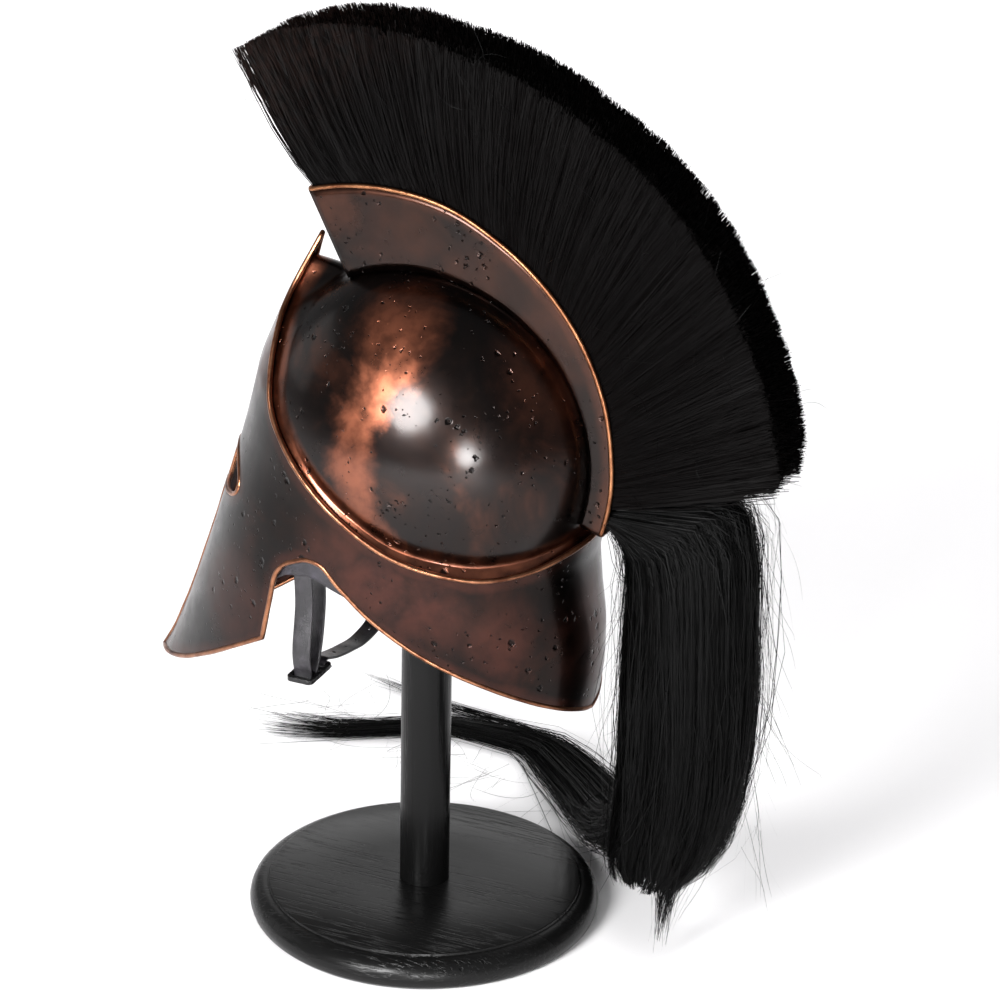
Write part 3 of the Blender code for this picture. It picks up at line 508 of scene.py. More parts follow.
def tube_object(name: str, points: Array, radii: Array, sides: int, closed: bool) -> Object:
    """Sweep a round section along a path.

    Args:
        name: name of the piece.
        points: points of the path.
        radii: radius at each of them.
        sides: number of sides of the section.
        closed: whether the path is a loop.

    Returns:
        The new object.
    """
    ahead = np.roll(points, -1, axis=0) - np.roll(points, 1, axis=0)
    if not closed:
        ahead[0], ahead[-1] = points[1] - points[0], points[-1] - points[-2]
    ahead = unit(ahead)
    side = np.zeros_like(points)
    last = unit(np.cross(ahead[0], np.array((0.3, 0.5, 0.8))))
    for k, way in enumerate(ahead):
        last = unit(last - way * (last @ way))
        side[k] = last
    up = np.cross(ahead, side)
    angles = spread(0.0, 2.0 * np.pi, sides)[:-1]
    ring = (
        side[:, None] * np.cos(angles)[None, :, None] + up[:, None] * np.sin(angles)[None, :, None]
    ) * radii[:, None, None]
    rings = points[:, None] + ring
    rings = np.concatenate((rings, rings[:, :1]), axis=1)
    return grids_object(name, [rings], mirror=False, closed=closed)


def apply_modifiers(obj: Object) -> None:
    """Bake an object's modifiers into its mesh.

    Args:
        obj: the piece.
    """
    graph = bpy.context.evaluated_depsgraph_get()
    baked = bpy.data.meshes.new_from_object(obj.evaluated_get(graph))
    obj.modifiers.clear()
    obj.data = baked


def thicken(obj: Object, thickness: float) -> None:
    """Give an open surface its thickness, half to each side.

    Args:
        obj: the piece.
        thickness: distance between its two faces.
    """
    shell = obj.modifiers.new("sheet", "SOLIDIFY")
    shell.thickness = thickness
    shell.offset = 0.0
    apply_modifiers(obj)


def mark_wear_and_sheen(obj: Object, lines: Sequence[Array], reach: float) -> None:
    """Note on each vertex how close it lies to the edges that are rubbed in use; along the bowl's lip the
    copper that this brings is partly a painted reflection on the ledge.

    Args:
        obj: the piece.
        lines: points along the edges.
        reach: distance at which the wear has gone.
    """
    tree = KDTree(sum(len(line) for line in lines))
    for n, point in enumerate(np.concatenate(lines)):
        tree.insert(point, n)
    tree.balance()
    near = np.array([tree.find(v.co)[2] for v in obj.data.vertices])
    wear = obj.data.attributes.new("wear", "FLOAT", "POINT")
    wear.data.foreach_set("value", np.clip(1.0 - near / reach, 0.0, 1.0).astype(np.float32))


def dress(obj: Object, finish: Material, slot: str, *nodes: str) -> None:
    """Give a piece its finish and its place in the part.

    Args:
        obj: the piece.
        finish: its material.
        slot: the record's material slot that it stands for; not used.
        nodes: the CAD nodes that it replaces.
    """
    obj.data.materials.clear()
    obj.data.materials.append(finish)
    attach(obj, BODY)
    if nodes:
        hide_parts(*nodes)
    LOG.info("%s: %d faces", obj.name, len(obj.data.polygons))


# Finishes

def linear(hex_code: str) -> tuple[float, float, float, float]:
    """Turn an sRGB hex colour into a linear one.

    Args:
        hex_code: six digits after a hash sign.

    Returns:
        Red, green, blue and alpha.
    """
    parts = [int(hex_code[k:k + 2], 16) / 255.0 for k in (1, 3, 5)]
    red, green, blue = (v / 12.92 if v <= 0.04045 else ((v + 0.055) / 1.055) ** 2.4 for v in parts)
    return red, green, blue, 1.0


def per_metre(millimetres: float) -> float:
    """Scale of a pattern whose features are this far apart."""
    return 1000.0 / millimetres


class MixSocket(int, Enum):
    """Sockets of a colour Mix node."""

    FACTOR = 0
    FIRST = 6
    SECOND = 7
    RESULT = 2


def add_node(tree: Tree, kind: str, inputs: dict | None = None, **settings: object) -> Node:
    """Add a node with its settings and links.

    Args:
        tree: the material's node tree.
        kind: the node's type name, without the prefix that all of them have.
        inputs: for each socket name or number, its value or the socket that feeds it.
        settings: the node's own properties.

    Returns:
        The new node.
    """
    made = tree.nodes.new("ShaderNode" + kind)
    for name, value in settings.items():
        setattr(made, name, value)
    for name, value in (inputs or {}).items():
        socket = made.inputs[int(name) if isinstance(name, Enum) else name]
        if isinstance(value, Socket):
            tree.links.new(value, socket)
        else:
            socket.default_value = value
    return made


def start_material(name: str) -> tuple[Material, Tree, Node, Socket]:
    """Make an empty material.

    Args:
        name: name of the finish.

    Returns:
        The material, its node tree, its Principled shader and the position in the object.
    """
    mat = bpy.data.materials.new(name)
    mat.use_nodes = True
    tree = mat.node_tree
    place = add_node(tree, "TexCoord").outputs["Object"]
    return mat, tree, tree.nodes["Principled BSDF"], place


def vary_roughness(tree: Tree, shader: Node, source: Socket,
                   smooth: float, rough: float) -> None:
    """Let a noise vary the surface from smooth to rough.

    Args:
        tree: the node tree.
        shader: the shader that is varied.
        source: the noise.
        smooth: roughness where the noise is low.
        rough: roughness where it is high.
    """
    spans = add_node(tree, "MapRange", {
        "Value": source, "From Min": 0.3, "From Max": 0.7, "To Min": smooth, "To Max": rough,
    })
    tree.links.new(spans.outputs[0], shader.inputs["Roughness"])


def mix_colours(tree: Tree, share: Socket, first: Socket | str, second: Socket | str) -> Socket:
    """Mix two colours.

    Args:
        tree: the node tree.
        share: how much of the second colour shows, from 0 to 1.
        first: a socket or an sRGB hex code.
        second: the same, for the other colour.

    Returns:
        The socket of the mixed colour.
    """
    first, second = (linear(colour) if isinstance(colour, str) else colour for colour in (first, second))
    mix = add_node(tree, "Mix", {
        MixSocket.FACTOR: share, MixSocket.FIRST: first, MixSocket.SECOND: second,
    }, data_type="RGBA")
    return mix.outputs[MixSocket.RESULT]


@dataclass(frozen=True)
class Patch:
    """A place where the dark patina is rubbed back: centre and radius in mm, and how far it's rubbed."""

    x: float
    y: float
    z: float
    radius: float
    share: float = 1.0


@dataclass(frozen=True)
class PatinatedBronze:
    """Raised bronze sheet, blackened with liver of sulphur, rubbed back and waxed.

    The patina is dark brown and glossy, copper shows in clouds where it was rubbed and along rubbed edges,
    and the face keeps the pits that a punch left. On the bowl, the copper band along the lip is partly a
    painted reflection on the ledge.
    """

    name: str
    patina: str
    brown: str
    copper: str
    patches: tuple[Patch, ...] = ()
    grime: str = "#0b0605"
    cloud_mm: float = 75.0
    cloud_share: float = 0.12
    ragged_m: float = 0.055
    edge_share: float = 0.60
    pit_group_mm: float = 38.0
    pit_mm: float = 8.0
    pit_size: float = 0.40
    hammer_mm: float = 22.0
    roughness: float = 0.30
    wax: float = 0.60

    def rubbed(self, tree: Tree, place: Socket,
               cloud: Node) -> Socket:
        """How far the patina is rubbed back, from 0 to 1, with a band along the marked edges that on the
        bowl's ledge is partly a painted reflection.

        Args:
            tree: the node tree.
            place: position in the object.
            cloud: the large noise that breaks up the edges.

        Returns:
            The socket that holds it.
        """
        blur = add_node(tree, "VectorMath", {0: cloud.outputs["Color"], 1: (0.5, 0.5, 0.5)},
                        operation="SUBTRACT")
        shift = add_node(tree, "VectorMath", {0: blur.outputs[0], "Scale": self.ragged_m},
                         operation="SCALE")
        moved = add_node(tree, "VectorMath", {0: place, 1: shift.outputs[0]}, operation="ADD")
        total = add_node(tree, "MapRange", {
            "Value": cloud.outputs["Fac"], "From Min": 0.54, "From Max": 0.70, "To Max": self.cloud_share,
        }, interpolation_type="SMOOTHSTEP").outputs[0]
        for patch in self.patches:
            away = add_node(tree, "VectorMath", {
                0: moved.outputs[0], 1: (patch.x / 1000, patch.y / 1000, patch.z / 1000),
            }, operation="DISTANCE")
            near = add_node(tree, "MapRange", {
                "Value": away.outputs["Value"], "From Min": 0.42 * patch.radius / 1000,
                "From Max": 1.42 * patch.radius / 1000, "To Min": patch.share, "To Max": 0.0,
            }, interpolation_type="SMOOTHSTEP")
            total = add_node(tree, "Math", {0: total, 1: near.outputs[0]},
                             operation="MAXIMUM").outputs[0]
        # Band along the marked edges: rubbed copper, and on the bowl's ledge inside the lip a painted
        # reflection as well.
        edge = add_node(tree, "Attribute", attribute_name="wear").outputs["Fac"]
        uneven = add_node(tree, "Math", {0: cloud.outputs["Fac"], 1: 0.9, 2: edge},
                          operation="MULTIPLY_ADD")
        band = add_node(tree, "MapRange", {
            "Value": uneven.outputs[0], "From Min": 0.55, "From Max": 1.15, "To Max": self.edge_share,
        }, interpolation_type="SMOOTHSTEP")
        return add_node(tree, "Math", {0: total, 1: band.outputs[0]},
                        operation="MAXIMUM").outputs[0]

    def pits(self, tree: Tree, place: Socket) -> Socket:
        """Depth of the punched pits, from 0 to 1.

        Args:
            tree: the node tree.
            place: position in the object.

        Returns:
            The socket that holds it.
        """
        group = add_node(tree, "TexNoise", {
            "Vector": place, "Scale": per_metre(self.pit_group_mm), "Detail": 1.0,
        })
        jag = add_node(tree, "TexNoise", {
            "Vector": place, "Scale": per_metre(0.4 * self.pit_mm), "Detail": 2.0,
        })
        aside = add_node(tree, "VectorMath", {
            0: jag.outputs["Color"], 1: (0.004, 0.004, 0.004), 2: (-0.002, -0.002, -0.002),
        }, operation="MULTIPLY_ADD")
        uneven = add_node(tree, "VectorMath", {0: place, 1: aside.outputs[0]}, operation="ADD")
        where = add_node(tree, "MapRange", {
            "Value": group.outputs["Fac"], "From Min": 0.42, "From Max": 0.56, "To Min": 0.12, "To Max": 1.0,
        })
        total = None
        for spacing in (self.pit_mm, 0.45 * self.pit_mm):
            cell = add_node(tree, "TexVoronoi", {
                "Vector": uneven.outputs[0], "Scale": per_metre(spacing),
            })
            chance = add_node(tree, "SeparateColor", {"Color": cell.outputs["Color"]})
            rare = add_node(tree, "MapRange", {"Value": chance.outputs[0], "From Min": 0.58})
            size = add_node(tree, "Math", {0: rare.outputs[0], 1: where.outputs[0]},
                            operation="MULTIPLY")
            wide = add_node(tree, "Math", {0: size.outputs[0], 1: self.pit_size, 2: 0.001},
                            operation="MULTIPLY_ADD")
            ratio = add_node(tree, "Math", {0: cell.outputs["Distance"], 1: wide.outputs[0]},
                             operation="DIVIDE")
            pit = add_node(tree, "MapRange", {
                "Value": ratio.outputs[0], "From Min": 0.35, "From Max": 1.0, "To Min": 1.0, "To Max": 0.0,
            }, interpolation_type="SMOOTHSTEP").outputs[0]
            total = pit if total is None else add_node(
                tree, "Math", {0: total, 1: pit}, operation="MAXIMUM").outputs[0]
        return total

    def build(self) -> Material:
        """Make the material.

        Returns:
            The finish, ready to put on a piece.
        """
        mat, tree, shader, place = start_material(self.name)
        cloud = add_node(tree, "TexNoise", {
            "Vector": place, "Scale": per_metre(self.cloud_mm), "Detail": 5.0, "Roughness": 0.62,
            "Distortion": 0.6,
        })
        mottle = add_node(tree, "TexNoise", {
            "Vector": place, "Scale": per_metre(16.0), "Detail": 6.0, "Roughness": 0.6,
        })
        rubbed = self.rubbed(tree, place, cloud)
        pits = self.pits(tree, place)
        browned = add_node(tree, "MapRange", {
            "Value": cloud.outputs["Fac"], "From Min": 0.38, "From Max": 0.66,
        }, interpolation_type="SMOOTHSTEP")
        base = mix_colours(tree, browned.outputs[0], self.patina, self.brown)
        streaks = add_node(tree, "MapRange", {
            "Value": mottle.outputs["Fac"], "From Min": 0.36, "From Max": 0.60, "To Min": 0.55, "To Max": 1.0,
        })
        rub = add_node(tree, "Math", {0: rubbed, 1: streaks.outputs[0]}, operation="MULTIPLY")
        shown = mix_colours(tree, rub.outputs[0], base, self.copper)
        dirt = add_node(tree, "Math", {0: pits, 1: 0.9}, operation="MULTIPLY")
        tree.links.new(mix_colours(tree, dirt.outputs[0], shown, self.grime), shader.inputs["Base Color"])
        vary_roughness(tree, shader, mottle.outputs["Fac"], self.roughness - 0.05, self.roughness + 0.09)
        shader.inputs["Metallic"].default_value = 1.0
        shader.inputs["Coat Weight"].default_value = self.wax
        shader.inputs["Coat Roughness"].default_value = 0.17
        wave = add_node(tree, "TexNoise", {
            "Vector": place, "Scale": per_metre(self.hammer_mm), "Detail": 1.5,
        })
        beaten = add_node(tree, "Bump", {
            "Height": wave.outputs["Fac"], "Strength": 0.22, "Distance": 0.0010,
        })
        punched = add_node(tree, "Bump", {
            "Height": pits, "Strength": 0.9, "Distance": 0.0008, "Normal": beaten.outputs[0],
        }, invert=True)
        tree.links.new(punched.outputs[0], shader.inputs["Normal"])
        tree.links.new(punched.outputs[0], shader.inputs["Coat Normal"])
        return mat


@dataclass(frozen=True)
class RubbedRim:
    """Rolled bronze edge, worn bright by handling: copper colour with brown stains."""

    name: str
    bright: str
    stained: str
    stain_mm: float = 24.0
    dent_mm: float = 5.0
    roughness: float = 0.30

    def build(self) -> Material:
        """Make the material.

        Returns:
            The finish, ready to put on a piece.
        """
        mat, tree, shader, place = start_material(self.name)
        stain = add_node(tree, "TexNoise", {
            "Vector": place, "Scale": per_metre(self.stain_mm), "Detail": 5.0, "Roughness": 0.65,
        })
        share = add_node(tree, "MapRange", {
            "Value": stain.outputs["Fac"], "From Min": 0.42, "From Max": 0.64,
        })
        colour = mix_colours(tree, share.outputs[0], self.bright, self.stained)
        tree.links.new(colour, shader.inputs["Base Color"])
        vary_roughness(tree, shader, stain.outputs["Fac"], self.roughness - 0.06, self.roughness + 0.12)
        shader.inputs["Metallic"].default_value = 1.0
        dents = add_node(tree, "TexNoise", {
            "Vector": place, "Scale": per_metre(self.dent_mm), "Detail": 3.0,
        })
        bump = add_node(tree, "Bump", {
            "Height": dents.outputs["Fac"], "Strength": 0.5, "Distance": 0.0006,
        })
        tree.links.new(bump.outputs[0], shader.inputs["Normal"])
        return mat


class Grain(Enum):
    """Direction of the wood's grain, as the scale of the pattern along X, Y and Z."""

    ALONG_Y = (1.0, 0.05, 1.0)
    ALONG_Z = (1.0, 1.0, 0.04)


@dataclass(frozen=True)
class PaintedWood:
    """Ash, turned and sprayed with satin black paint: the open grain still shows as fine furrows."""

    name: str
    paint: str
    grain: Grain
    furrow: str = "#030303"
    furrow_mm: float = 1.6
    roughness: float = 0.26
    shine: float = 0.22

    def build(self) -> Material:
        """Make the material.

        Returns:
            The finish, ready to put on a piece.
        """
        mat, tree, shader, place = start_material(self.name)
        along = add_node(tree, "Mapping", {"Vector": place, "Scale": self.grain.value})
        bend = add_node(tree, "TexNoise", {
            "Vector": along.outputs[0], "Scale": per_metre(45.0), "Detail": 2.0,
        })
        furrows = add_node(tree, "TexNoise", {
            "Vector": along.outputs[0], "Scale": per_metre(self.furrow_mm), "Detail": 3.0, "Roughness": 0.6,
        })
        open_grain = add_node(tree, "MapRange", {
            "Value": furrows.outputs["Fac"], "From Min": 0.52, "From Max": 0.68,
        }, interpolation_type="SMOOTHSTEP")
        early = add_node(tree, "MapRange", {
            "Value": bend.outputs["Fac"], "From Min": 0.42, "From Max": 0.58, "To Min": 0.2, "To Max": 1.0,
        })
        depth = add_node(tree, "Math", {0: open_grain.outputs[0], 1: early.outputs[0]},
                         operation="MULTIPLY")
        colour = mix_colours(tree, depth.outputs[0], self.paint, self.furrow)
        tree.links.new(colour, shader.inputs["Base Color"])
        vary_roughness(tree, shader, bend.outputs["Fac"], self.roughness - 0.04, self.roughness + 0.08)
        bump = add_node(tree, "Bump", {
            "Height": depth.outputs[0], "Strength": 0.6, "Distance": 0.0004,
        }, invert=True)
        tree.links.new(bump.outputs[0], shader.inputs["Normal"])
        shader.inputs["Specular IOR Level"].default_value = self.shine
        return mat


@dataclass(frozen=True)
class WaxedLeather:
    """Vegetable-tanned hide, dyed black and waxed: a fine pebble with creases and a soft shine."""

    name: str
    dye: str
    worn: str
    pebble_mm: float = 1.1
    roughness: float = 0.42

    def build(self) -> Material:
        """Make the material.

        Returns:
            The finish, ready to put on a piece.
        """
        mat, tree, shader, place = start_material(self.name)
        pebble = add_node(tree, "TexVoronoi", {"Vector": place, "Scale": per_metre(self.pebble_mm)})
        wear = add_node(tree, "TexNoise", {
            "Vector": place, "Scale": per_metre(9.0), "Detail": 5.0, "Roughness": 0.65,
        })
        share = add_node(tree, "MapRange", {
            "Value": wear.outputs["Fac"], "From Min": 0.45, "From Max": 0.70,
        })
        colour = mix_colours(tree, share.outputs[0], self.dye, self.worn)
        tree.links.new(colour, shader.inputs["Base Color"])
        vary_roughness(tree, shader, wear.outputs["Fac"], self.roughness - 0.08, self.roughness + 0.12)
        grain = add_node(tree, "Bump", {
            "Height": pebble.outputs["Distance"], "Strength": 0.35, "Distance": 0.0003,
        })
        crease = add_node(tree, "Bump", {
            "Height": wear.outputs["Fac"], "Strength": 0.4, "Distance": 0.0008, "Normal": grain.outputs[0],
        })
        tree.links.new(crease.outputs[0], shader.inputs["Normal"])
        return mat


@dataclass(frozen=True)
class LacqueredSteel:
    """Cast steel buckle dipped in black lacquer: smooth, with a slight orange peel and rubbed spots."""

    name: str
    lacquer: str
    rubbed: str
    roughness: float = 0.26

    def build(self) -> Material:
        """Make the material.

        Returns:
            The finish, ready to put on a piece.
        """
        mat, tree, shader, place = start_material(self.name)
        wear = add_node(tree, "TexNoise", {"Vector": place, "Scale": per_metre(4.0), "Detail": 4.0})
        share = add_node(tree, "MapRange", {
            "Value": wear.outputs["Fac"], "From Min": 0.60, "From Max": 0.74,
        })
        colour = mix_colours(tree, share.outputs[0], self.lacquer, self.rubbed)
        tree.links.new(colour, shader.inputs["Base Color"])
        vary_roughness(tree, shader, wear.outputs["Fac"], self.roughness - 0.04, self.roughness + 0.10)
        shader.inputs["Metallic"].default_value = 0.25
        peel = add_node(tree, "TexNoise", {"Vector": place, "Scale": per_metre(1.2), "Detail": 2.0})
        bump = add_node(tree, "Bump", {
            "Height": peel.outputs["Fac"], "Strength": 0.15, "Distance": 0.0003,
        })
        tree.links.new(bump.outputs[0], shader.inputs["Normal"])
        return mat


@dataclass(frozen=True)
class Horsehair:
    """Dyed horsehair: near-black strands with a thin shine, redder away from a given point: partly dye fade
    at the tips, partly a painted warm highlight.
    """

    name: str
    dye: str
    fade_highlight: str
    shine: float = 0.06
    fade_highlight_from: tuple[float, float, float] = (0.0, 0.0, 0.0)
    fade_highlight_start_mm: float = 1e6
    fade_highlight_end_mm: float = 2e6
    roughness: float = 0.44

    def build(self) -> Material:
        """Make the material.

        Returns:
            The finish, ready to put on a piece.
        """
        mat, tree, shader, place = start_material(self.name)
        # Redder away from the given point: dye fade at the tips and, on the crest, a painted warm highlight
        # along its front edge.
        away = add_node(tree, "VectorMath", {0: place, 1: self.fade_highlight_from}, operation="DISTANCE")
        out = add_node(tree, "MapRange", {
            "Value": away.outputs["Value"], "From Min": self.fade_highlight_start_mm / 1000,
            "From Max": self.fade_highlight_end_mm / 1000,
        }, interpolation_type="SMOOTHSTEP")
        strands = add_node(tree, "TexNoise", {
            "Vector": place, "Scale": per_metre(6.0), "Detail": 6.0, "Roughness": 0.7,
        })
        some = add_node(tree, "MapRange", {
            "Value": strands.outputs["Fac"], "From Min": 0.40, "From Max": 0.64,
        })
        share = add_node(tree, "Math", {0: out.outputs[0], 1: some.outputs[0]},
                         operation="MULTIPLY")
        colour = mix_colours(tree, share.outputs[0], self.dye, self.fade_highlight)
        tree.links.new(colour, shader.inputs["Base Color"])
        vary_roughness(tree, shader, strands.outputs["Fac"], self.roughness - 0.06, self.roughness + 0.12)
        shader.inputs["Specular IOR Level"].default_value = self.shine
        return mat


# Bronze

DOME_PATCHES = (
    Patch(52, 2, 450, 32, 0.85), Patch(66, 4, 436, 25, 0.9), Patch(78, -4, 420, 19, 0.95),
    Patch(86, -10, 404, 17, 0.85), Patch(90, -13, 390, 17, 0.7), Patch(93, -14, 376, 17, 0.6),
    Patch(94, -14, 362, 16, 0.55), Patch(94, -12, 348, 15, 0.5), Patch(93, -10, 335, 14, 0.5),
    Patch(91, -4, 323, 14, 0.55), Patch(88, 6, 315, 14, 0.6), Patch(84, 18, 309, 13, 0.6),
    Patch(82, 30, 305, 13, 0.5), Patch(78, 42, 302, 12, 0.45), Patch(74, 56, 301, 12, 0.4),
    Patch(-60, -20, 440, 44, 0.6), Patch(-80, 10, 410, 36, 0.4), Patch(-88, 36, 380, 34, 0.3),
    Patch(-90, 30, 350, 30, 0.3), Patch(30, 100, 420, 36, 0.25), Patch(-40, 96, 400, 36, 0.25),
)
GUARD_PATCHES = (
    Patch(52, -104, 430, 34, 0.55), Patch(99, -26, 306, 22, 0.22), Patch(98, 4, 284, 24, 0.28),
    Patch(94, 44, 266, 28, 0.25), Patch(76, 90, 250, 30, 0.25), Patch(72, -108, 250, 34, 0.20),
    Patch(-94, -20, 300, 40, 0.3), Patch(-90, 60, 262, 34, 0.3), Patch(-50, -150, 260, 34, 0.3),
    Patch(0, 128, 240, 44, 0.25),
)
BOX_PATCHES = (
    Patch(22, -66, 512, 22, 0.24), Patch(22, -18, 500, 30, 0.12), Patch(22, 40, 480, 26, 0.10),
    Patch(22, 92, 446, 26, 0.12), Patch(-22, -30, 500, 36, 0.3), Patch(-22, 90, 440, 32, 0.3),
)


@dataclass
class BronzeWork:
    """The skull bowl, the face and neck guard, and the crest box, with their rolled rims."""

    form: HelmetForm
    bowl: PatinatedBronze = PatinatedBronze(
        "bronze_blackened_bowl", "#161110", "#1f1410", "#a26046", DOME_PATCHES, wax=0.38,
    )
    guard: PatinatedBronze = PatinatedBronze(
        "bronze_blackened_guard", "#120f0e", "#1c120e", "#6c3c30", GUARD_PATCHES, cloud_mm=60.0,
        edge_share=0.22, wax=0.22,
    )
    box: PatinatedBronze = PatinatedBronze(
        "bronze_blackened_box", "#17110f", "#20140f", "#6a4030", BOX_PATCHES, cloud_mm=50.0,
        edge_share=0.22, wax=0.22,
    )
    rim: RubbedRim = RubbedRim("bronze_rubbed_rim", "#9a6a4f", "#563325")
    box_rim: RubbedRim = RubbedRim("bronze_rubbed_box_rim", "#98694a", "#5c3826")
    # Reach of the copper band along the bowl's lip: partly edge wear, partly a painted reflection on the
    # ledge.
    flange_wear_and_sheen: float = 0.017
    edge_wear: float = 0.012

    def rim_piece(self, name: str, loop: Array, radius: float, finish: Material,
                  slot: str) -> Object:
        """Make a rolled rim along a closed loop, a little uneven as hammered ones are.

        Args:
            name: name of the piece.
            loop: points of the loop in the helmet frame.
            radius: radius of the roll.
            finish: its material.
            slot: the record's material slot.

        Returns:
            The rim.
        """
        points = self.form.to_world(loop)
        along = np.arange(len(points))
        radii = radius * (1.0 + 0.05 * np.sin(along * 0.7) * np.sin(along * 0.23 + 1.0))
        made = tube_object(name, points, radii, 10, closed=True)
        dress(made, finish, slot)
        return made

    def build_bowl(self) -> None:
        """The raised bowl, with its flange turned out inside the lip."""
        form = self.form
        half = np.concatenate((spread(0.0, 38.0, 30), spread(38.0, 180.0, 66)[1:]))
        inside = form.sheet * 1.5 + 2 * form.fit_gap
        columns = []
        for turn in half:
            seam, upper, lower = form.flange_levels(turn)
            dome = form.skull_point(turn, spread(0.0, math.degrees(math.acos(seam / form.skull_r)), 48),
                                    form.sheet / 2)
            flange = form.wall_point(turn, spread(upper, lower, 3), inside)
            ledge = dome[-1] + (flange[0] - dome[-1]) * spread(0.0, 1.0, 8)[1:-1, None]
            columns.append(np.concatenate((dome, ledge, flange)))
        obj = grids_object("skull_bowl_sheet", [form.to_world(np.array(columns))], mirror=False)
        self.mirror(obj)
        thicken(obj, form.sheet)
        # Copper along the lip: rubbed edge, and a painted reflection on the ledge, which lies in shade in the
        # groove.
        mark_wear_and_sheen(obj, [form.to_world(form.lip_loop(form.sheet))], self.flange_wear_and_sheen)
        dress(obj, self.bowl.build(), "dark_bronze", "skull_bowl")

    def mirror(self, obj: Object) -> None:
        """Add the other side of a half piece, welded in the plane of symmetry.

        Args:
            obj: the half piece.
        """
        other = obj.modifiers.new("other_side", "MIRROR")
        other.merge_threshold = 0.00003
        apply_modifiers(obj)

    def build_guard(self) -> None:
        """Brow, nasal, cheeks and neck guard in one sheet, with both rims."""
        form = self.form
        inset = form.sheet / 2
        grids = [form.to_world(g(inset)) for g in (form.brow_columns, form.cheek_columns, form.nasal_columns)]
        obj = grids_object("guard_sheet", grids, mirror=True)
        thicken(obj, form.sheet)
        edges = [form.to_world(loop(inset)) for loop in (form.lip_loop, form.edge_loop)]
        mark_wear_and_sheen(obj, edges, self.edge_wear)
        dress(obj, self.guard.build(), "patinated_bronze", "face_and_neck_guard")
        finish = self.rim.build()
        self.rim_piece("guard_lip_rim", form.lip_loop(inset), form.rim_r, finish, "patinated_bronze")
        self.rim_piece("guard_edge_rim", form.edge_loop(inset), form.rim_r, finish, "patinated_bronze")

    def build_box(self) -> None:
        """The crest box: two walls, two ends and a floor that follows the skull."""
        form = self.form
        seat = form.fit_gap + form.facet_gap / 4 + form.sheet / 2
        shares = spread(0.0, 1.0, 110)
        angles = form.box_front_deg + (form.box_rear_deg - form.box_front_deg) * shares
        across = spread(-form.box_half_w, form.box_half_w, 12)
        columns = []
        for share, angle in zip(shares, angles):
            rim = float(form.box_rim(share))
            floor = form.skull_r * np.sqrt(1.0 - (across / form.skull_half_w) ** 2) + seat
            wall = spread(rim, floor[0], 10)[:-1]
            x = np.concatenate((np.full(len(wall), across[0]), across, np.full(len(wall), across[-1])))
            r = np.concatenate((wall, floor, wall[::-1]))
            columns.append(form.fan_point(x, angle, r))
        grid = np.array(columns)
        ends = [np.stack((end, end * np.array((-1.0, 1.0, 1.0)))) for end in (grid[0], grid[-1])]
        ends = [end[:, :end.shape[1] // 2 + 1] for end in ends]
        obj = grids_object("crest_box_sheet", [form.to_world(g) for g in (grid, *ends)], mirror=False)
        thicken(obj, form.sheet)
        left = grid[:, -1]
        mark_wear_and_sheen(obj, [form.to_world(side) for side in (left, grid[:, 0], ends[0][0])], self.edge_wear)
        dress(obj, self.box.build(), "crest_bronze", "crest_box")
        corner = 2.0 * form.rim_r
        bends = [self.corner(left[-1], left[-2], corner), self.corner(left[0], left[1], corner)[::-1]]
        half = np.concatenate((bends[1], left[2:-2], bends[0]))
        loop = np.concatenate((half, half[::-1] * np.array((-1.0, 1.0, 1.0))))
        self.rim_piece("crest_box_rim", loop, form.rim_r, self.box_rim.build(), "crest_bronze")

    def corner(self, tip: Array, inward: Array, reach: float) -> Array:
        """Round the box rim's corner, from along the wall to along the end.

        Args:
            tip: the corner.
            inward: the next point along the wall.
            reach: how far from the corner the bend starts.

        Returns:
            Points of the bend.
        """
        start = tip + unit(inward - tip) * reach
        end = tip - np.array((reach, 0.0, 0.0))
        t = spread(0.0, 1.0, 6)[:, None]
        return start * (1 - t) ** 2 + tip * 2 * t * (1 - t) + end * t ** 2

    def build(self) -> None:
        """Make all the bronze."""
        self.build_bowl()
        self.build_guard()
        self.build_box()


# Hair

@dataclass(frozen=True)
class Lock:
    """One station of a lock of hair: centre, width and height in metres."""

    x: float
    y: float
    z: float
    width: float
    height: float


@dataclass(frozen=True)
class Fall:
    """One station of the tail: lower and upper outline, and half thickness, as shares of its sizes."""

    low_back: float
    low_drop: float
    high_back: float
    high_drop: float
    half: float


def ribbons(name: str, paths: Array, widths: Array, facing: Array) -> Object:
    """Draw strands as flat ribbons in one mesh.

    Args:
        name: name of the piece.
        paths: points of each strand, strands by points by three.
        widths: width of each strand at each point.
        facing: for each strand, the direction that its flat side faces.

    Returns:
        The new object.
    """
    ahead = np.gradient(paths, axis=1)
    side = unit(np.cross(ahead, facing[:, None, :])) * (widths / 2)[:, :, None]
    count, length = paths.shape[:2]
    points = np.stack((paths - side, paths + side), axis=2).reshape(-1, 3)
    first = (np.arange(count)[:, None] * length + np.arange(length - 1)[None, :]).ravel() * 2
    faces = np.stack((first, first + 1, first + 3, first + 2), axis=1)
    return mesh_object(name, points, faces)


def in_disc(count: int, inner: float, rng: np.random.Generator) -> Array:
    """Random places in a disc of radius one.

    Args:
        count: number of places.
        inner: radius that they keep out of.
        rng: source of chance.

    Returns:
        Count by two.
    """
    angle = rng.uniform(0.0, 2.0 * np.pi, count)
    radius = np.sqrt(rng.uniform(inner ** 2, 1.0, count))
    return np.stack((radius * np.cos(angle), radius * np.sin(angle)), axis=1)


def tapered(count: int, shares: Array, width: float, rng: np.random.Generator, loss: float = 0.65) -> Array:
    """Widths of strands that thin out towards their ends, by a share of their width."""
    thick = width * rng.uniform(0.7, 1.3, (count, 1))
    return thick * (1.0 - loss * np.clip((shares - 0.7) / 0.3, 0.0, 1.0) ** 2)


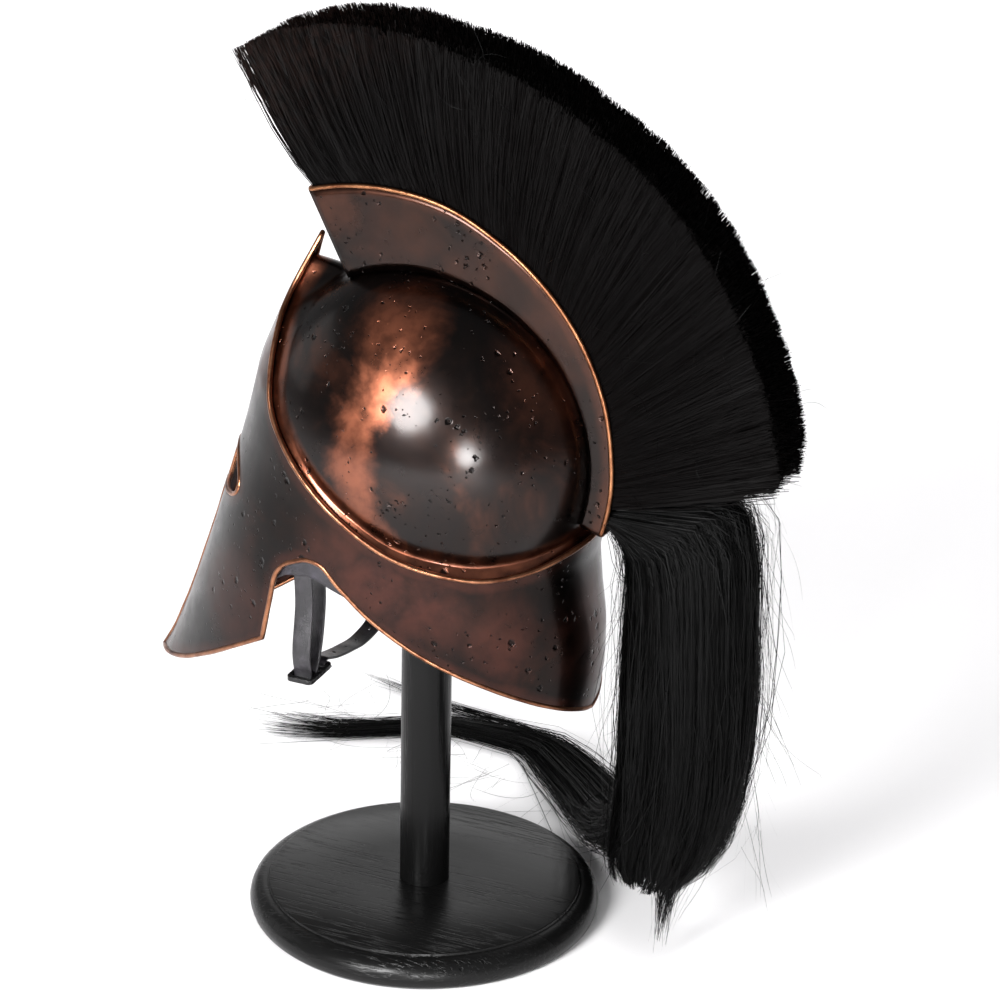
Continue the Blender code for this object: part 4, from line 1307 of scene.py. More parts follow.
@dataclass
class Crest:
    """The fan of stiff hair: a dark core that backs it, and strands gathered in small tufts."""

    form: HelmetForm
    rng: np.random.Generator
    reach: float = 0.290
    half_w: float = 0.026
    tip_front_deg: float = -48.6
    tip_rear_deg: float = 66.5
    root_rear_gap_deg: float = 8.0
    strands: int = 15000
    strand_w: float = 0.00046
    tufts_along: int = 120
    tufts_across: int = 7
    face_share: float = 0.45
    face_depth: float = 0.14
    gather: float = 0.35
    core_half_w: float = 0.93
    core_cut: float = 0.0055
    root_depth: float = 0.004
    fan: Profile = Profile(
        (0.00, 0.980), (0.07, 0.992), (0.15, 0.986), (0.29, 0.950), (0.48, 0.915), (0.65, 0.893),
        (0.85, 0.872), (0.95, 0.872), (1.00, 0.865),
    )
    swell: Profile = Profile((0.0, 0.72), (0.06, 0.80), (0.45, 0.96), (0.93, 1.00), (1.00, 0.97))
    close: Profile = Profile(
        (0.00, 0.36), (0.03, 0.66), (0.08, 0.94), (0.14, 1.00), (0.95, 1.00), (1.00, 0.80),
    )
    # Redder towards the crest's front edge: partly dye fade at the tips, partly a painted warm highlight.
    hair: Horsehair = Horsehair(
        "horsehair_crest", "#050404", "#170d0a", shine=0.03, fade_highlight_from=(0.0, 0.16, 0.36),
        fade_highlight_start_mm=290.0, fade_highlight_end_mm=380.0,
    )

    def lines(self, share: Array, angle_shift: Array) -> tuple[Array, Array, Array, Array]:
        """Where the hair leaves the box and where it ends.

        Args:
            share: share of the way from the front to the rear.
            angle_shift: degrees that each end is moved by.

        Returns:
            Root angle, root distance, end angle and end distance.
        """
        form = self.form
        front = form.box_front_deg + math.degrees((form.sheet + form.rim_r) / form.skull_r)
        rear = form.box_rear_deg - self.root_rear_gap_deg
        root = front + (rear - front) * share
        tip = self.tip_front_deg + (self.tip_rear_deg - self.tip_front_deg) * share + angle_shift
        box = (root - form.box_front_deg) / (form.box_rear_deg - form.box_front_deg)
        return root, form.box_rim(box) - self.root_depth, tip, self.reach * self.fan(share)

    def paths(self, across: Array, share: Array, steps: Array, cut: Array, shift: Array) -> Array:
        """Points of strands.

        Args:
            across: side position of each strand, from -1 to 1.
            share: its share of the way from the front to the rear.
            steps: shares along the strand.
            cut: length that its end is short of the outline.
            shift: degrees that its end is moved by.

        Returns:
            Strands by points by three, in the world.
        """
        root_deg, root_r, tip_deg, tip_r = self.lines(share, shift)
        root = self.form.fan_point(0.0, root_deg, root_r)
        tip = self.form.fan_point(0.0, tip_deg, tip_r - cut)
        middle = root[:, None] + (tip - root)[:, None] * steps[None, :, None]
        closing = 1.0 - (1.0 - self.close(share))[:, None] * steps[None, :]
        middle[:, :, 0] = across[:, None] * self.half_w * self.swell(steps)[None, :] * closing
        return self.form.to_world(middle)

    def build_core(self) -> None:
        """A solid backing just under the strands, so that no light shows through the hair."""
        shares = spread(0.004, 0.996, 130)
        steps = spread(0.0, 1.0, 6)
        side = np.full(7, self.core_half_w)
        rim = np.concatenate((side, (0.62, 0.2, -0.2, -0.62), -side))
        along = np.concatenate((steps, np.full(4, 1.0), steps[::-1]))
        cut = np.full(len(shares), self.core_cut)
        lines = [
            self.paths(np.full(len(shares), a), shares, np.array((s,)), cut, np.zeros(len(shares)))[:, 0]
            for a, s in zip(rim, along)
        ]
        grid = np.stack(lines, axis=1)
        ends = []
        for end in (grid[0], grid[-1]):
            count = len(end) // 2
            ends.append(np.stack((end[:count], end[::-1][:count])))
        obj = grids_object("crest_hair_core", [grid, *ends], mirror=False)
        core = Horsehair("horsehair_core", "#020202", "#020202", shine=0.0)
        dress(obj, core.build(), "black_horsehair", "crest_plume")

    def build_side(self, name: str, side: float, finish: Material) -> None:
        """Strands of one half of the fan.

        Args:
            name: name of the piece.
            side: +1 for the wearer's left, -1 for the right.
            finish: the hair's material.
        """
        rng, count = self.rng, self.strands
        share = rng.uniform(-0.004, 1.004, count)
        at_face = rng.uniform(size=count) < self.face_share
        near_face = 1.0 - self.face_depth * rng.uniform(size=count) ** 1.5
        across = np.where(at_face, near_face, rng.uniform(0.0, 1.0, count))
        tuft = (
            np.clip(np.floor(share * self.tufts_along), 0, self.tufts_along - 1).astype(int),
            np.clip(np.floor(across * self.tufts_across), 0, self.tufts_across - 1).astype(int),
        )
        size = (self.tufts_along, self.tufts_across)
        tuft_cut = rng.gamma(1.5, 0.0012, size)[tuft]
        tuft_shift = rng.normal(0.0, 0.50, size)[tuft]
        centre = (tuft[0] + 0.5) / self.tufts_along
        gathered = (centre - share) * self.gather * (self.tip_rear_deg - self.tip_front_deg)
        cut = tuft_cut + rng.gamma(1.4, 0.0009, count)
        steps = np.array((0.0, 0.22, 0.48, 0.72, 0.90, 1.0))
        shift = tuft_shift + gathered + rng.normal(0.0, 0.85, count)
        paths = self.paths(side * across, share, steps, cut, shift)
        bow = rng.normal(0.0, 0.0017, (count, 3))
        paths += bow[:, None, :] * np.sin(np.pi * steps)[None, :, None]
        flare = side * rng.gamma(1.2, 0.00045, count) * (across > 0.8)
        paths[:, :, 0] += flare[:, None] * steps[None, :] ** 2
        facing = unit(np.stack((
            np.full(count, side) * (0.25 + across ** 2), rng.normal(0, 0.5, count), rng.normal(0, 0.5, count),
        ), axis=1))
        widths = tapered(count, steps[None, :], self.strand_w, rng, 0.25)
        dress(ribbons(name, paths, widths, facing), finish, "black_horsehair")

    def build(self) -> None:
        """Make the fan."""
        self.build_core()
        finish = self.hair.build()
        self.build_side("crest_hair_left", 1.0, finish)
        self.build_side("crest_hair_right", -1.0, finish)


@dataclass
class Tail:
    """The long hair behind, and the locks that reach the floor and lie on it."""

    form: HelmetForm
    rng: np.random.Generator
    length: float = 0.264
    width: float = 0.094
    half_t: float = 0.027
    floor_gap: float = 0.0012
    strands: int = 8400
    locks: int = 64
    floor_strands: int = 2700
    side_strands: int = 90
    wisp_strands: int = 340
    strand_w: float = 0.00040
    root_depth: float = 0.012
    root_deg: float = 8.0
    stations: tuple[Fall, ...] = (
        Fall(0.120, 0.055, 0.490, -0.095, 0.74),
        Fall(0.150, 0.110, 0.890, -0.118, 0.90),
        Fall(0.145, 0.215, 1.050, -0.010, 0.98),
        Fall(0.135, 0.390, 1.080, 0.215, 1.00),
        Fall(0.135, 0.580, 1.100, 0.430, 1.00),
        Fall(0.125, 0.740, 1.060, 0.640, 0.92),
        Fall(0.090, 0.870, 0.950, 0.795, 0.78),
        Fall(0.090, 0.950, 0.800, 0.905, 0.60),
        Fall(0.160, 1.000, 0.600, 0.985, 0.40),
    )
    floor_lock: tuple[Lock, ...] = (
        Lock(0.002, 0.186, 0.300, 0.030, 0.040),
        Lock(0.002, 0.188, 0.200, 0.036, 0.040),
        Lock(-0.004, 0.180, 0.118, 0.040, 0.032),
        Lock(-0.040, 0.152, 0.076, 0.040, 0.028),
        Lock(-0.094, 0.114, 0.036, 0.040, 0.022),
        Lock(-0.150, 0.072, 0.014, 0.038, 0.014),
        Lock(-0.205, 0.024, 0.0065, 0.036, 0.010),
        Lock(-0.243, -0.030, 0.0050, 0.027, 0.0070),
        Lock(-0.243, -0.085, 0.0045, 0.020, 0.0056),
        Lock(-0.222, -0.128, 0.0040, 0.019, 0.0050),
        Lock(-0.202, -0.165, 0.0035, 0.024, 0.0044),
        Lock(-0.192, -0.200, 0.0030, 0.034, 0.0044),
        Lock(-0.188, -0.234, 0.0026, 0.052, 0.0040),
    )
    side_lock: tuple[Lock, ...] = (
        Lock(-0.150, 0.072, 0.014, 0.020, 0.012),
        Lock(-0.236, 0.000, 0.0056, 0.010, 0.0056),
        Lock(-0.262, -0.055, 0.0046, 0.008, 0.0052),
        Lock(-0.270, -0.105, 0.0038, 0.010, 0.0044),
        Lock(-0.284, -0.155, 0.0032, 0.014, 0.0040),
        Lock(-0.296, -0.200, 0.0026, 0.020, 0.0036),
    )
    wisp_lock: tuple[Lock, ...] = (
        Lock(0.002, 0.188, 0.210, 0.030, 0.030),
        Lock(0.000, 0.186, 0.110, 0.026, 0.028),
        Lock(0.000, 0.182, 0.070, 0.018, 0.020),
        Lock(0.000, 0.178, 0.038, 0.010, 0.012),
        Lock(0.000, 0.174, 0.004, 0.006, 0.008),
    )
    hair: Horsehair = Horsehair("horsehair_tail", "#050505", "#0a0707", shine=0.07, roughness=0.42)

    def outline(self) -> tuple[Array, Array, Array]:
        """Outline of the tail at its stations, from the box downwards.

        Returns:
            Its lower line, its upper line and its half thicknesses.
        """
        form = self.form
        out = float(form.box_rim(1.0)) + form.rim_r + form.fit_gap
        low_deg = form.box_rear_deg - math.degrees((form.sheet + form.rim_r) / form.skull_r)
        high_deg = form.box_rear_deg - self.root_deg
        anchor = form.to_world(form.fan_point(0.0, form.box_rear_deg, float(form.box_rim(1.0))))
        lows, highs, halves = [], [], []
        for radius in (out - self.root_depth, out):
            lows.append(form.to_world(form.fan_point(0.0, low_deg, radius)))
            highs.append(form.to_world(form.fan_point(0.0, high_deg, radius)))
            halves.append(form.box_half_w - form.rim_r - form.fit_gap)
        for row in self.stations:
            lows.append(anchor + np.array((0.0, row.low_back * self.width, -row.low_drop * self.length)))
            highs.append(anchor + np.array((0.0, row.high_back * self.width, -row.high_drop * self.length)))
            halves.append(row.half * self.half_t)
        return np.array(lows), np.array(highs), np.array(halves)

    def along(self, stations: Array, at: Array) -> Array:
        """Read station values smoothly.

        Args:
            stations: one row for each station.
            at: positions, counted in stations.

        Returns:
            The values there.
        """
        where = np.arange(len(stations), dtype=float)
        flat = stations.reshape(len(stations), -1)
        lines = [Profile(*zip(where, flat[:, k]))(at) for k in range(flat.shape[1])]
        return np.stack(lines, axis=-1).reshape(*at.shape, *stations.shape[1:])

    def build_fall(self, name: str, finish: Material, inner: float, *nodes: str) -> None:
        """Strands of the tail itself, gathered in locks that part towards their ends.

        Args:
            name: name of the piece.
            finish: the hair's material.
            inner: share of the section's radius that these strands keep out of.
            nodes: the CAD nodes that the piece replaces.
        """
        rng, count = self.rng, self.strands
        lows, highs, halves = self.outline()
        heart = in_disc(self.locks, 0.3, rng)
        start = in_disc(count, inner, rng)
        lock = np.argmin(((start[:, None] - heart[None]) ** 2).sum(-1), axis=1)
        drift = rng.normal(0.0, 0.15, (self.locks, 2))
        lock_end = 1.05 - rng.gamma(1.5, 0.075, self.locks)
        steps = spread(0.0, 1.0, 10)
        end = np.clip(lock_end[lock] - rng.gamma(1.0, 0.070, count), 0.5, 1.04)
        at = (len(lows) - 1) * np.minimum(steps[None, :] * end[:, None], 1.0)
        low, high, half = (self.along(line, at) for line in (lows, highs, halves))
        gather = (0.70 * np.clip((steps - 0.30) / 0.70, 0.0, 1.0) ** 1.3)[None, :, None]
        spot = start[:, None] * (1.0 - gather) + (heart + drift)[lock][:, None] * gather
        loose = np.where(rng.uniform(size=count) < 0.09, 0.24, 0.065)[:, None, None]
        wave = np.sin(np.pi * steps[None, :] * rng.uniform(0.8, 2.6, (count, 1)))[:, :, None]
        spot = spot + loose * rng.normal(0.0, 1.0, (count, 1, 2)) * wave
        paths = (low + high) / 2 + (high - low) / 2 * spot[:, :, :1]
        paths[:, :, 0] += half * spot[:, :, 1]
        paths[:, :, 2] = np.maximum(paths[:, :, 2], self.floor_gap)
        outward = np.stack((start[:, 1], start[:, 0], np.zeros(count)), axis=1)
        facing = unit(outward + rng.normal(0.0, 0.45, (count, 3)))
        widths = tapered(count, steps[None, :], self.strand_w, rng)
        dress(ribbons(name, paths, widths, facing), finish, "long_black_horsehair", *nodes)

    def build_lock(self, name: str, stations: tuple[Lock, ...], count: int, steps: int,
                   finish: Material, loose: float) -> None:
        """Strands that follow a lock.

        Args:
            name: name of the piece.
            stations: the lock's centre line, widths and heights.
            count: number of strands.
            steps: pieces in each strand.
            finish: the hair's material.
            loose: how much shorter the shortest strands are, as a share.
        """
        rng = self.rng
        table = np.array([(s.x, s.y, s.z, s.width, s.height) for s in stations])
        share = spread(0.0, 1.0, steps)
        end = 1.0 - loose * rng.beta(2.0, 1.6, count)
        at = (len(table) - 1) * share[None, :] * end[:, None]
        line = self.along(table, at)
        centre = line[:, :, :3]
        ahead = unit(np.gradient(centre, axis=1))
        across = unit(np.cross(ahead, np.array((0.0, 0.0, 1.0))) + np.array((1e-4, 0.0, 0.0)))
        up = np.cross(across, ahead)
        angle = rng.uniform(0.0, 2.0 * np.pi, (count, 1))
        radius = np.sqrt(rng.uniform(0.0, 1.0, (count, 1)))
        drift = rng.normal(0.0, 0.5, (count, 2, 1)) * np.sin(share * rng.uniform(2, 5, (count, 1, 1)))
        u = radius * np.cos(angle) + drift[:, 0]
        v = radius * np.sin(angle) + drift[:, 1]
        paths = (
            centre + across * (line[:, :, 3] / 2 * u)[:, :, None] + up * (line[:, :, 4] / 2 * v)[:, :, None]
        )
        paths[:, :, 2] = np.maximum(paths[:, :, 2], self.floor_gap)
        facing = unit(rng.normal(0.0, 1.0, (count, 3)) + np.array((0.0, 0.0, 0.6)))
        widths = tapered(count, share[None, :], self.strand_w, rng)
        dress(ribbons(name, paths, widths, facing), finish, "long_black_horsehair")

    def build(self, finish: Material) -> None:
        """Make the tail and its locks.

        Args:
            finish: the hair's material.
        """
        self.build_fall("tail_hair_inner", finish, 0.25, "tail_plume")
        self.build_fall("tail_hair_outer", finish, 0.82)
        self.build_lock("floor_lock_hair", self.floor_lock, self.floor_strands, 22, finish, 0.60)
        self.build_lock("side_lock_hair", self.side_lock, self.side_strands, 14, finish, 0.5)
        self.build_lock("wisp_hair", self.wisp_lock, self.wisp_strands, 10, finish, 0.5)


@dataclass
class LooseHair:
    """Single hairs that stand off the crest and the tail, or lie shed on the floor."""

    crest: Crest
    rng: np.random.Generator
    width: float = 0.00022
    floor_gap: float = 0.0012
    crest_hairs: int = 420
    tail_hairs: int = 120
    floor_hairs: int = 70
    x_limits: tuple[float, float] = (-0.300, 0.120)
    y_limits: tuple[float, float] = (-0.245, 0.272)

    def hairs(self, start: Array, heading: Array, length: Array, bend: float) -> Array:
        """Points of hairs that leave a place and bend away.

        Args:
            start: where each hair leaves.
            heading: which way it leaves.
            length: its length in metres.
            bend: how strongly it bends, as a share of its length.

        Returns:
            Hairs by points by three.
        """
        rng, count = self.rng, len(start)
        share = spread(0.0, 1.0, 12)[None, :, None]
        aside, across = (unit(rng.normal(size=(count, 1, 3))) for _ in range(2))
        first = rng.normal(0.0, bend, (count, 1, 1)) * share ** 2
        second = rng.normal(0.0, 0.4 * bend, (count, 1, 1)) * np.sin(3.5 * share) * share
        path = unit(heading)[:, None] * share + aside * first + across * second
        points = start[:, None] + path * length[:, None, None]
        points[:, :, 2] = np.maximum(points[:, :, 2], self.floor_gap)
        return points

    def on_crest(self, count: int) -> Array:
        """Hairs that leave the sides of the fan.

        Args:
            count: number of hairs.

        Returns:
            Hairs by points by three.
        """
        rng = self.rng
        side = rng.choice((-1.0, 1.0), count)
        steps = spread(0.0, 1.0, 24)
        lines = self.crest.paths(side, rng.uniform(0.0, 1.0, count), steps, np.zeros(count), np.zeros(count))
        at = rng.integers(2, 23, count)
        rows = np.arange(count)
        along = unit(lines[rows, at] - lines[rows, at - 1])
        out = stack(0.35 * side, 0.0, 0.0) + rng.normal(0.0, 0.45, (count, 3))
        return self.hairs(lines[rows, at], along + out, rng.uniform(0.008, 0.040, count), 0.5)

    def on_tail(self, count: int) -> Array:
        """Hairs that hang off the front, the sides and the back of the tail.

        Args:
            count: number of hairs.

        Returns:
            Hairs by points by three.
        """
        rng = self.rng
        side = rng.choice((-1.0, 1.0), count)
        start = stack(rng.uniform(-0.024, 0.024, count), 0.197 + side * 0.040, rng.uniform(0.10, 0.36, count))
        heading = stack(rng.normal(0.0, 0.3, count), 0.28 * side, -1.0)
        return self.hairs(start, heading, rng.uniform(0.030, 0.080, count), 0.25)

    def on_floor(self, count: int) -> Array:
        """Shed hairs on the floor, and the frayed edges of the lock that lies there.

        Args:
            count: number of hairs.

        Returns:
            Hairs by points by three.
        """
        rng = self.rng
        share = rng.uniform(0.0, 1.0, count)
        start = stack(-0.17 - 0.07 * share, 0.05 - 0.25 * share, rng.uniform(0.001, 0.006, count))
        start[:, :2] += rng.normal(0.0, 0.008, (count, 2))
        heading = stack(
            rng.normal(0.3, 0.7, count), rng.normal(-0.5, 0.6, count), rng.uniform(0.0, 0.1, count),
        )
        points = self.hairs(start, heading, rng.uniform(0.030, 0.085, count), 0.45)
        points[:, :, 2] = self.floor_gap + 0.10 * np.maximum(points[:, :, 2] - self.floor_gap, 0.0)
        return points

    def build(self, finish: Material) -> None:
        """Make all of them in one piece.

        Args:
            finish: the hair's material.
        """
        paths = np.concatenate((
            self.on_crest(self.crest_hairs), self.on_tail(self.tail_hairs), self.on_floor(self.floor_hairs),
        ))
        paths[:, :, 0] = np.clip(paths[:, :, 0], *self.x_limits)
        paths[:, :, 1] = np.clip(paths[:, :, 1], *self.y_limits)
        count = len(paths)
        share = spread(0.0, 1.0, paths.shape[1] - 1)[None, :]
        facing = unit(self.rng.normal(size=(count, 3)))
        obj = ribbons("loose_hair", paths, tapered(count, share, self.width, self.rng), facing)
        dress(obj, finish, "long_black_horsehair")


# Leather and buckle

@dataclass(frozen=True)
class Bend:
    """Where the strap passes, from a place that it leaves: distances sideways and down."""

    out: float
    drop: float


@dataclass
class Harness:
    """The leather liner, the chin strap in its two lengths, and the slide buckle."""

    form: HelmetForm
    leather: float = 0.0020
    liner_gap: float = 0.0019
    strap_w: float = 0.013
    strap_y: float = -0.050
    strap_t: float = 0.0018
    hole_r: float = 0.0015
    hole_pitch: float = 0.018
    holes: int = 5
    slide_x: float = 0.077
    slide_z: float = 0.203
    slide_w: float = 0.019
    slide_t: float = 0.0036
    bar_w: float = 0.0036
    slot_w: float = 0.0060
    section_edge: float = 0.0006
    slide_edge: float = 0.0005
    strap_hang: float = 0.010
    strap_lap: float = 0.018
    strap_tail: float = 0.006
    last_hole: float = 0.022
    liner_start_deg: float = 10.0
    fold_lead: float = 0.0008
    fold_reach: float = 0.0012
    tail_dip: float = 0.0004
    lap_low: float = 0.006
    lap_high: float = 0.004
    near_hang: Bend = Bend(0.002, 0.030)
    far_hang: Bend = Bend(0.004, 0.030)
    fold_entry: Bend = Bend(0.003, 0.020)
    fold_exit: Bend = Bend(0.009, 0.024)
    leaf_low: Bend = Bend(0.018, 0.022)
    leaf_high: Bend = Bend(0.004, 0.002)
    sag: tuple[tuple[float, float], ...] = (
        (-0.62, 0.012), (-0.30, -0.006), (0.00, -0.010), (0.26, -0.007), (0.52, -0.002),
    )
    liner_leather: WaxedLeather = WaxedLeather("leather_liner", "#17151a", "#2b2830", pebble_mm=1.3)
    strap_leather: WaxedLeather = WaxedLeather(
        "leather_strap", "#141316", "#2a272c", pebble_mm=0.8, roughness=0.36,
    )
    steel: LacqueredSteel = LacqueredSteel("lacquered_slide", "#0c0c0d", "#3a3836")

    def liner_x(self, y: float, z: float) -> float:
        """Where the liner's inner face is.

        Args:
            y: place in the world, front to back.
            z: height in the world.

        Returns:
            Its side offset there.
        """
        p = math.radians(self.form.pitch_deg)
        dy, dz = y - self.form.centre[1], z - self.form.centre[2]
        hy, hz = dy * math.cos(p) - dz * math.sin(p), dy * math.sin(p) + dz * math.cos(p)
        width, front, back = self.form.wall_sizes(hz, self.form.sheet + self.liner_gap + self.leather)
        depth = front if hy < 0 else back
        return float(width * math.sqrt(max(1.0 - (hy / float(depth)) ** 2, 0.0)))

    def strap_top(self) -> tuple[float, float, float]:
        """Where the strap's ends lie against the liner.

        Returns:
            Side offset, upper height and lower height.
        """
        form = self.form
        belt = form.to_world(form.wall_point(80.0, float(-form.cheek_drop * form.belt(80.0))))
        top = float(belt[2]) - self.strap_hang
        low = top - self.strap_lap
        x = min(self.liner_x(self.strap_y - self.strap_w / 2, z) for z in (top, low))
        return x - 1.1 * form.fit_gap - self.strap_t / 2, top, low

    def rests(self) -> tuple[float, float, float, float]:
        """Offsets of the slide's four bars from its centre."""
        pitch = self.bar_w + self.slot_w
        return -1.5 * pitch, -0.5 * pitch, 0.5 * pitch, 1.5 * pitch

    def fold(self, centre_x: float, start_deg: float, end_deg: float) -> list[tuple[float, float]]:
        """Turn of the strap round a bar.

        Args:
            centre_x: side offset of the bar.
            start_deg: direction in which the turn starts, seen from the bar.
            end_deg: direction in which it ends.

        Returns:
            Points, each a side offset and a height.
        """
        radius = math.hypot(self.bar_w / 2, self.slide_t / 2) + self.form.fit_gap + self.strap_t / 2
        angles = np.radians(spread(start_deg, end_deg, 14))
        return [(centre_x + radius * math.cos(a), self.slide_z + radius * math.sin(a)) for a in angles]

    def run(self, points: Sequence[tuple[float, float]], count: int = 8) -> list[tuple[float, float]]:
        """Smooth stretch of the strap.

        Args:
            points: places that it passes through, each a side offset and a height.
            count: number of steps between two of them.

        Returns:
            Points of the same kind, closer together.
        """
        given = np.array(points, float)
        chain = np.concatenate((2 * given[:1] - given[1:2], given, 2 * given[-1:] - given[-2:-1]))
        t = (np.arange(count) / count)[:, None]
        path = []
        for k in range(1, len(chain) - 2):
            a, b, c, d = chain[k - 1:k + 3]
            path.append(0.5 * (2 * b + (c - a) * t + (2 * a - 5 * b + 4 * c - d) * t ** 2
                               + (3 * b - a - 3 * c + d) * t ** 3))
        return [tuple(p) for p in np.concatenate((*path, given[-1:]))]

    def strap_object(self, name: str, path: Sequence[tuple[float, float]]) -> Object:
        """Sweep the strap's section, with rounded edges, along a path.

        Args:
            name: name of the piece.
            path: side offsets and heights of its middle plane.

        Returns:
            The strap.
        """
        line = np.array(path)
        keep = np.concatenate(((True,), np.linalg.norm(np.diff(line, axis=0), axis=1) > 1e-5))
        line = line[keep]
        centre = stack(line[:, 0], self.strap_y, line[:, 1])
        ahead = unit(np.gradient(centre, axis=0))
        normal = np.cross(ahead, np.array((0.0, 1.0, 0.0)))
        half_w, half_t, edge = self.strap_w / 2, self.strap_t / 2, self.section_edge
        section = []
        for sx, sy, start in ((1, 1, 0), (-1, 1, 90), (-1, -1, 180), (1, -1, 270)):
            for angle in np.radians(spread(start, start + 90, 3)):
                section.append((sx * (half_w - edge) + edge * math.cos(angle),
                                sy * (half_t - edge) + edge * math.sin(angle)))
        section.append(section[0])
        across, out = np.array(section).T
        rings = (
            centre[:, None] + np.array((0.0, 1.0, 0.0)) * across[None, :, None]
            + normal[:, None] * out[None, :, None]
        )
        obj = grids_object(name, [rings], mirror=False)
        bm = bmesh.new()
        bm.from_mesh(obj.data)
        bmesh.ops.holes_fill(bm, edges=[e for e in bm.edges if e.is_boundary], sides=64)
        bmesh.ops.recalc_face_normals(bm, faces=bm.faces)
        bm.to_mesh(obj.data)
        bm.free()
        return obj

    def punch(self, obj: Object, flat: Sequence[tuple[float, float]], first_x: float) -> None:
        """Cut the row of buckle holes through a strap.

        Args:
            obj: the strap.
            flat: its path where the holes are.
            first_x: side offset of the first hole.
        """
        line = np.array(flat)
        for k in range(self.holes):
            away = np.abs(line[:, 0] - (first_x - k * self.hole_pitch))
            n = int(np.clip(np.argmin(away), 1, len(line) - 2))
            way = line[n + 1] - line[n - 1]
            normal = Vector((-way[1], 0.0, way[0]))
            bm = bmesh.new()
            bmesh.ops.create_cone(
                bm, cap_ends=True, segments=24, radius1=self.hole_r, radius2=self.hole_r, depth=0.012,
                matrix=Matrix.Translation((line[n][0], self.strap_y, line[n][1]))
                @ normal.to_track_quat("Z", "Y").to_matrix().to_4x4(),
            )
            mesh = bpy.data.meshes.new("punch")
            bm.to_mesh(mesh)
            bm.free()
            cutter = bpy.data.objects.new("punch", mesh)
            bpy.context.scene.collection.objects.link(cutter)
            cut = obj.modifiers.new("hole", "BOOLEAN")
            cut.operation = "DIFFERENCE"
            cut.solver = "EXACT"
            cut.object = cutter
            apply_modifiers(obj)
            bpy.data.objects.remove(cutter, do_unlink=True)
        obj.data.shade_smooth()
        obj.data.set_sharp_from_angle(angle=math.radians(35))

    def build_straps(self) -> None:
        """The folded strap on the wearer's left and the holed one from the right."""
        x, top, low = self.strap_top()
        finish = self.strap_leather.build()
        inner = x - self.strap_t - 2 * self.form.fit_gap
        turn = self.fold(self.slide_x + self.rests()[2], 0.0, -180.0)
        down = [
            (x, top), (x, low), (x - self.near_hang.out, low - self.near_hang.drop),
            (turn[0][0] + self.fold_entry.out, turn[0][1] + self.fold_entry.drop),
            (turn[0][0], turn[0][1] + self.fold_lead),
        ]
        up = [
            (turn[-1][0], turn[-1][1] + self.fold_lead),
            (turn[-1][0] - self.fold_exit.out, turn[-1][1] + self.fold_exit.drop),
            (inner - self.leaf_low.out, low - self.leaf_low.drop),
            (inner - self.leaf_high.out, low - self.leaf_high.drop),
            (inner, low + self.lap_low), (inner, top - self.lap_high),
        ]
        near = self.strap_object("chin_strap_left_leather", self.run(down) + turn + self.run(up))
        dress(near, finish, "strap_leather", "chin_strap_left")
        turn = self.fold(self.slide_x + self.rests()[0], 90.0, -90.0)
        down = [(-x, top), (-x, low), (-x + self.far_hang.out, low - self.far_hang.drop)]
        across = [(share * x, self.slide_z + rise) for share, rise in self.sag]
        across.append((turn[0][0] - self.fold_reach, turn[0][1]))
        end = [(turn[-1][0] - self.strap_tail, turn[-1][1] - self.tail_dip)]
        far = self.strap_object("chin_strap_right_leather", self.run(down + across) + turn + end)
        self.punch(far, self.run(across, 60), turn[0][0] - self.last_hole)
        dress(far, finish, "strap_leather", "chin_strap_right")

    def build_slide(self) -> None:
        """The slide buckle: a plate with three slots and softened edges."""
        bars = self.rests()
        soft = self.slide_edge
        curve = bpy.data.curves.new("slide", "CURVE")
        curve.dimensions = "2D"
        curve.fill_mode = "BOTH"
        curve.extrude = self.slide_t / 2 - soft
        curve.bevel_depth = soft
        curve.bevel_resolution = 3
        curve.offset = -soft
        outlines = [(bars[-1] + self.bar_w / 2, self.slide_w / 2, self.slide_w / 5, 0.0)]
        for first, second in zip(bars, bars[1:]):
            outlines.append((self.slot_w / 2, self.strap_w / 2 + 2 * self.form.fit_gap, self.slot_w / 8,
                             (first + second) / 2))
        for half_x, half_y, radius, middle in outlines:
            points = []
            for sx, sy, start in ((1, 1, 0), (-1, 1, 90), (-1, -1, 180), (1, -1, 270)):
                for angle in np.radians(spread(start, start + 90, 8)):
                    points.append((middle + sx * (half_x - radius) + radius * math.cos(angle),
                                   sy * (half_y - radius) + radius * math.sin(angle)))
            spline = curve.splines.new("POLY")
            spline.points.add(len(points) - 1)
            for slot, (px, py) in zip(spline.points, points):
                slot.co = (px + self.slide_x, py + self.strap_y, 0.0, 1.0)
            spline.use_cyclic_u = True
        drawn = bpy.data.objects.new("slide", curve)
        bpy.context.scene.collection.objects.link(drawn)
        graph = bpy.context.evaluated_depsgraph_get()
        mesh = bpy.data.meshes.new_from_object(drawn.evaluated_get(graph))
        bpy.data.objects.remove(drawn, do_unlink=True)
        mesh.transform(Matrix.Translation((0.0, 0.0, self.slide_z)))
        mesh.shade_smooth()
        mesh.set_sharp_from_angle(angle=math.radians(50))
        obj = bpy.data.objects.new("slide_buckle", mesh)
        bpy.context.scene.collection.objects.link(obj)
        dress(obj, self.steel.build(), "black_lacquered_steel", "strap_slide")

    def build_liner(self) -> None:
        """The leather band inside the sides and the back."""
        form = self.form
        inset = form.sheet + self.liner_gap + self.leather / 2
        half = spread(form.eye_end_deg + self.liner_start_deg, 180.0, 90)
        tops = -form.cheek_drop * form.belt(half) - self.leather
        bottoms = -form.cheek_drop * form.liner_edge(half)
        levels = tops[:, None] + (bottoms - tops)[:, None] * spread(0.0, 1.0, 12)[None, :]
        grid = form.to_world(form.wall_point(half[:, None], levels, inset))
        obj = grids_object("liner_leather", [grid], mirror=True)
        thicken(obj, self.leather)
        dress(obj, self.liner_leather.build(), "black_leather", "liner_band")

    def build(self) -> None:
        """Make the leather and the buckle."""
        self.build_liner()
        self.build_straps()
        self.build_slide()


# Stand

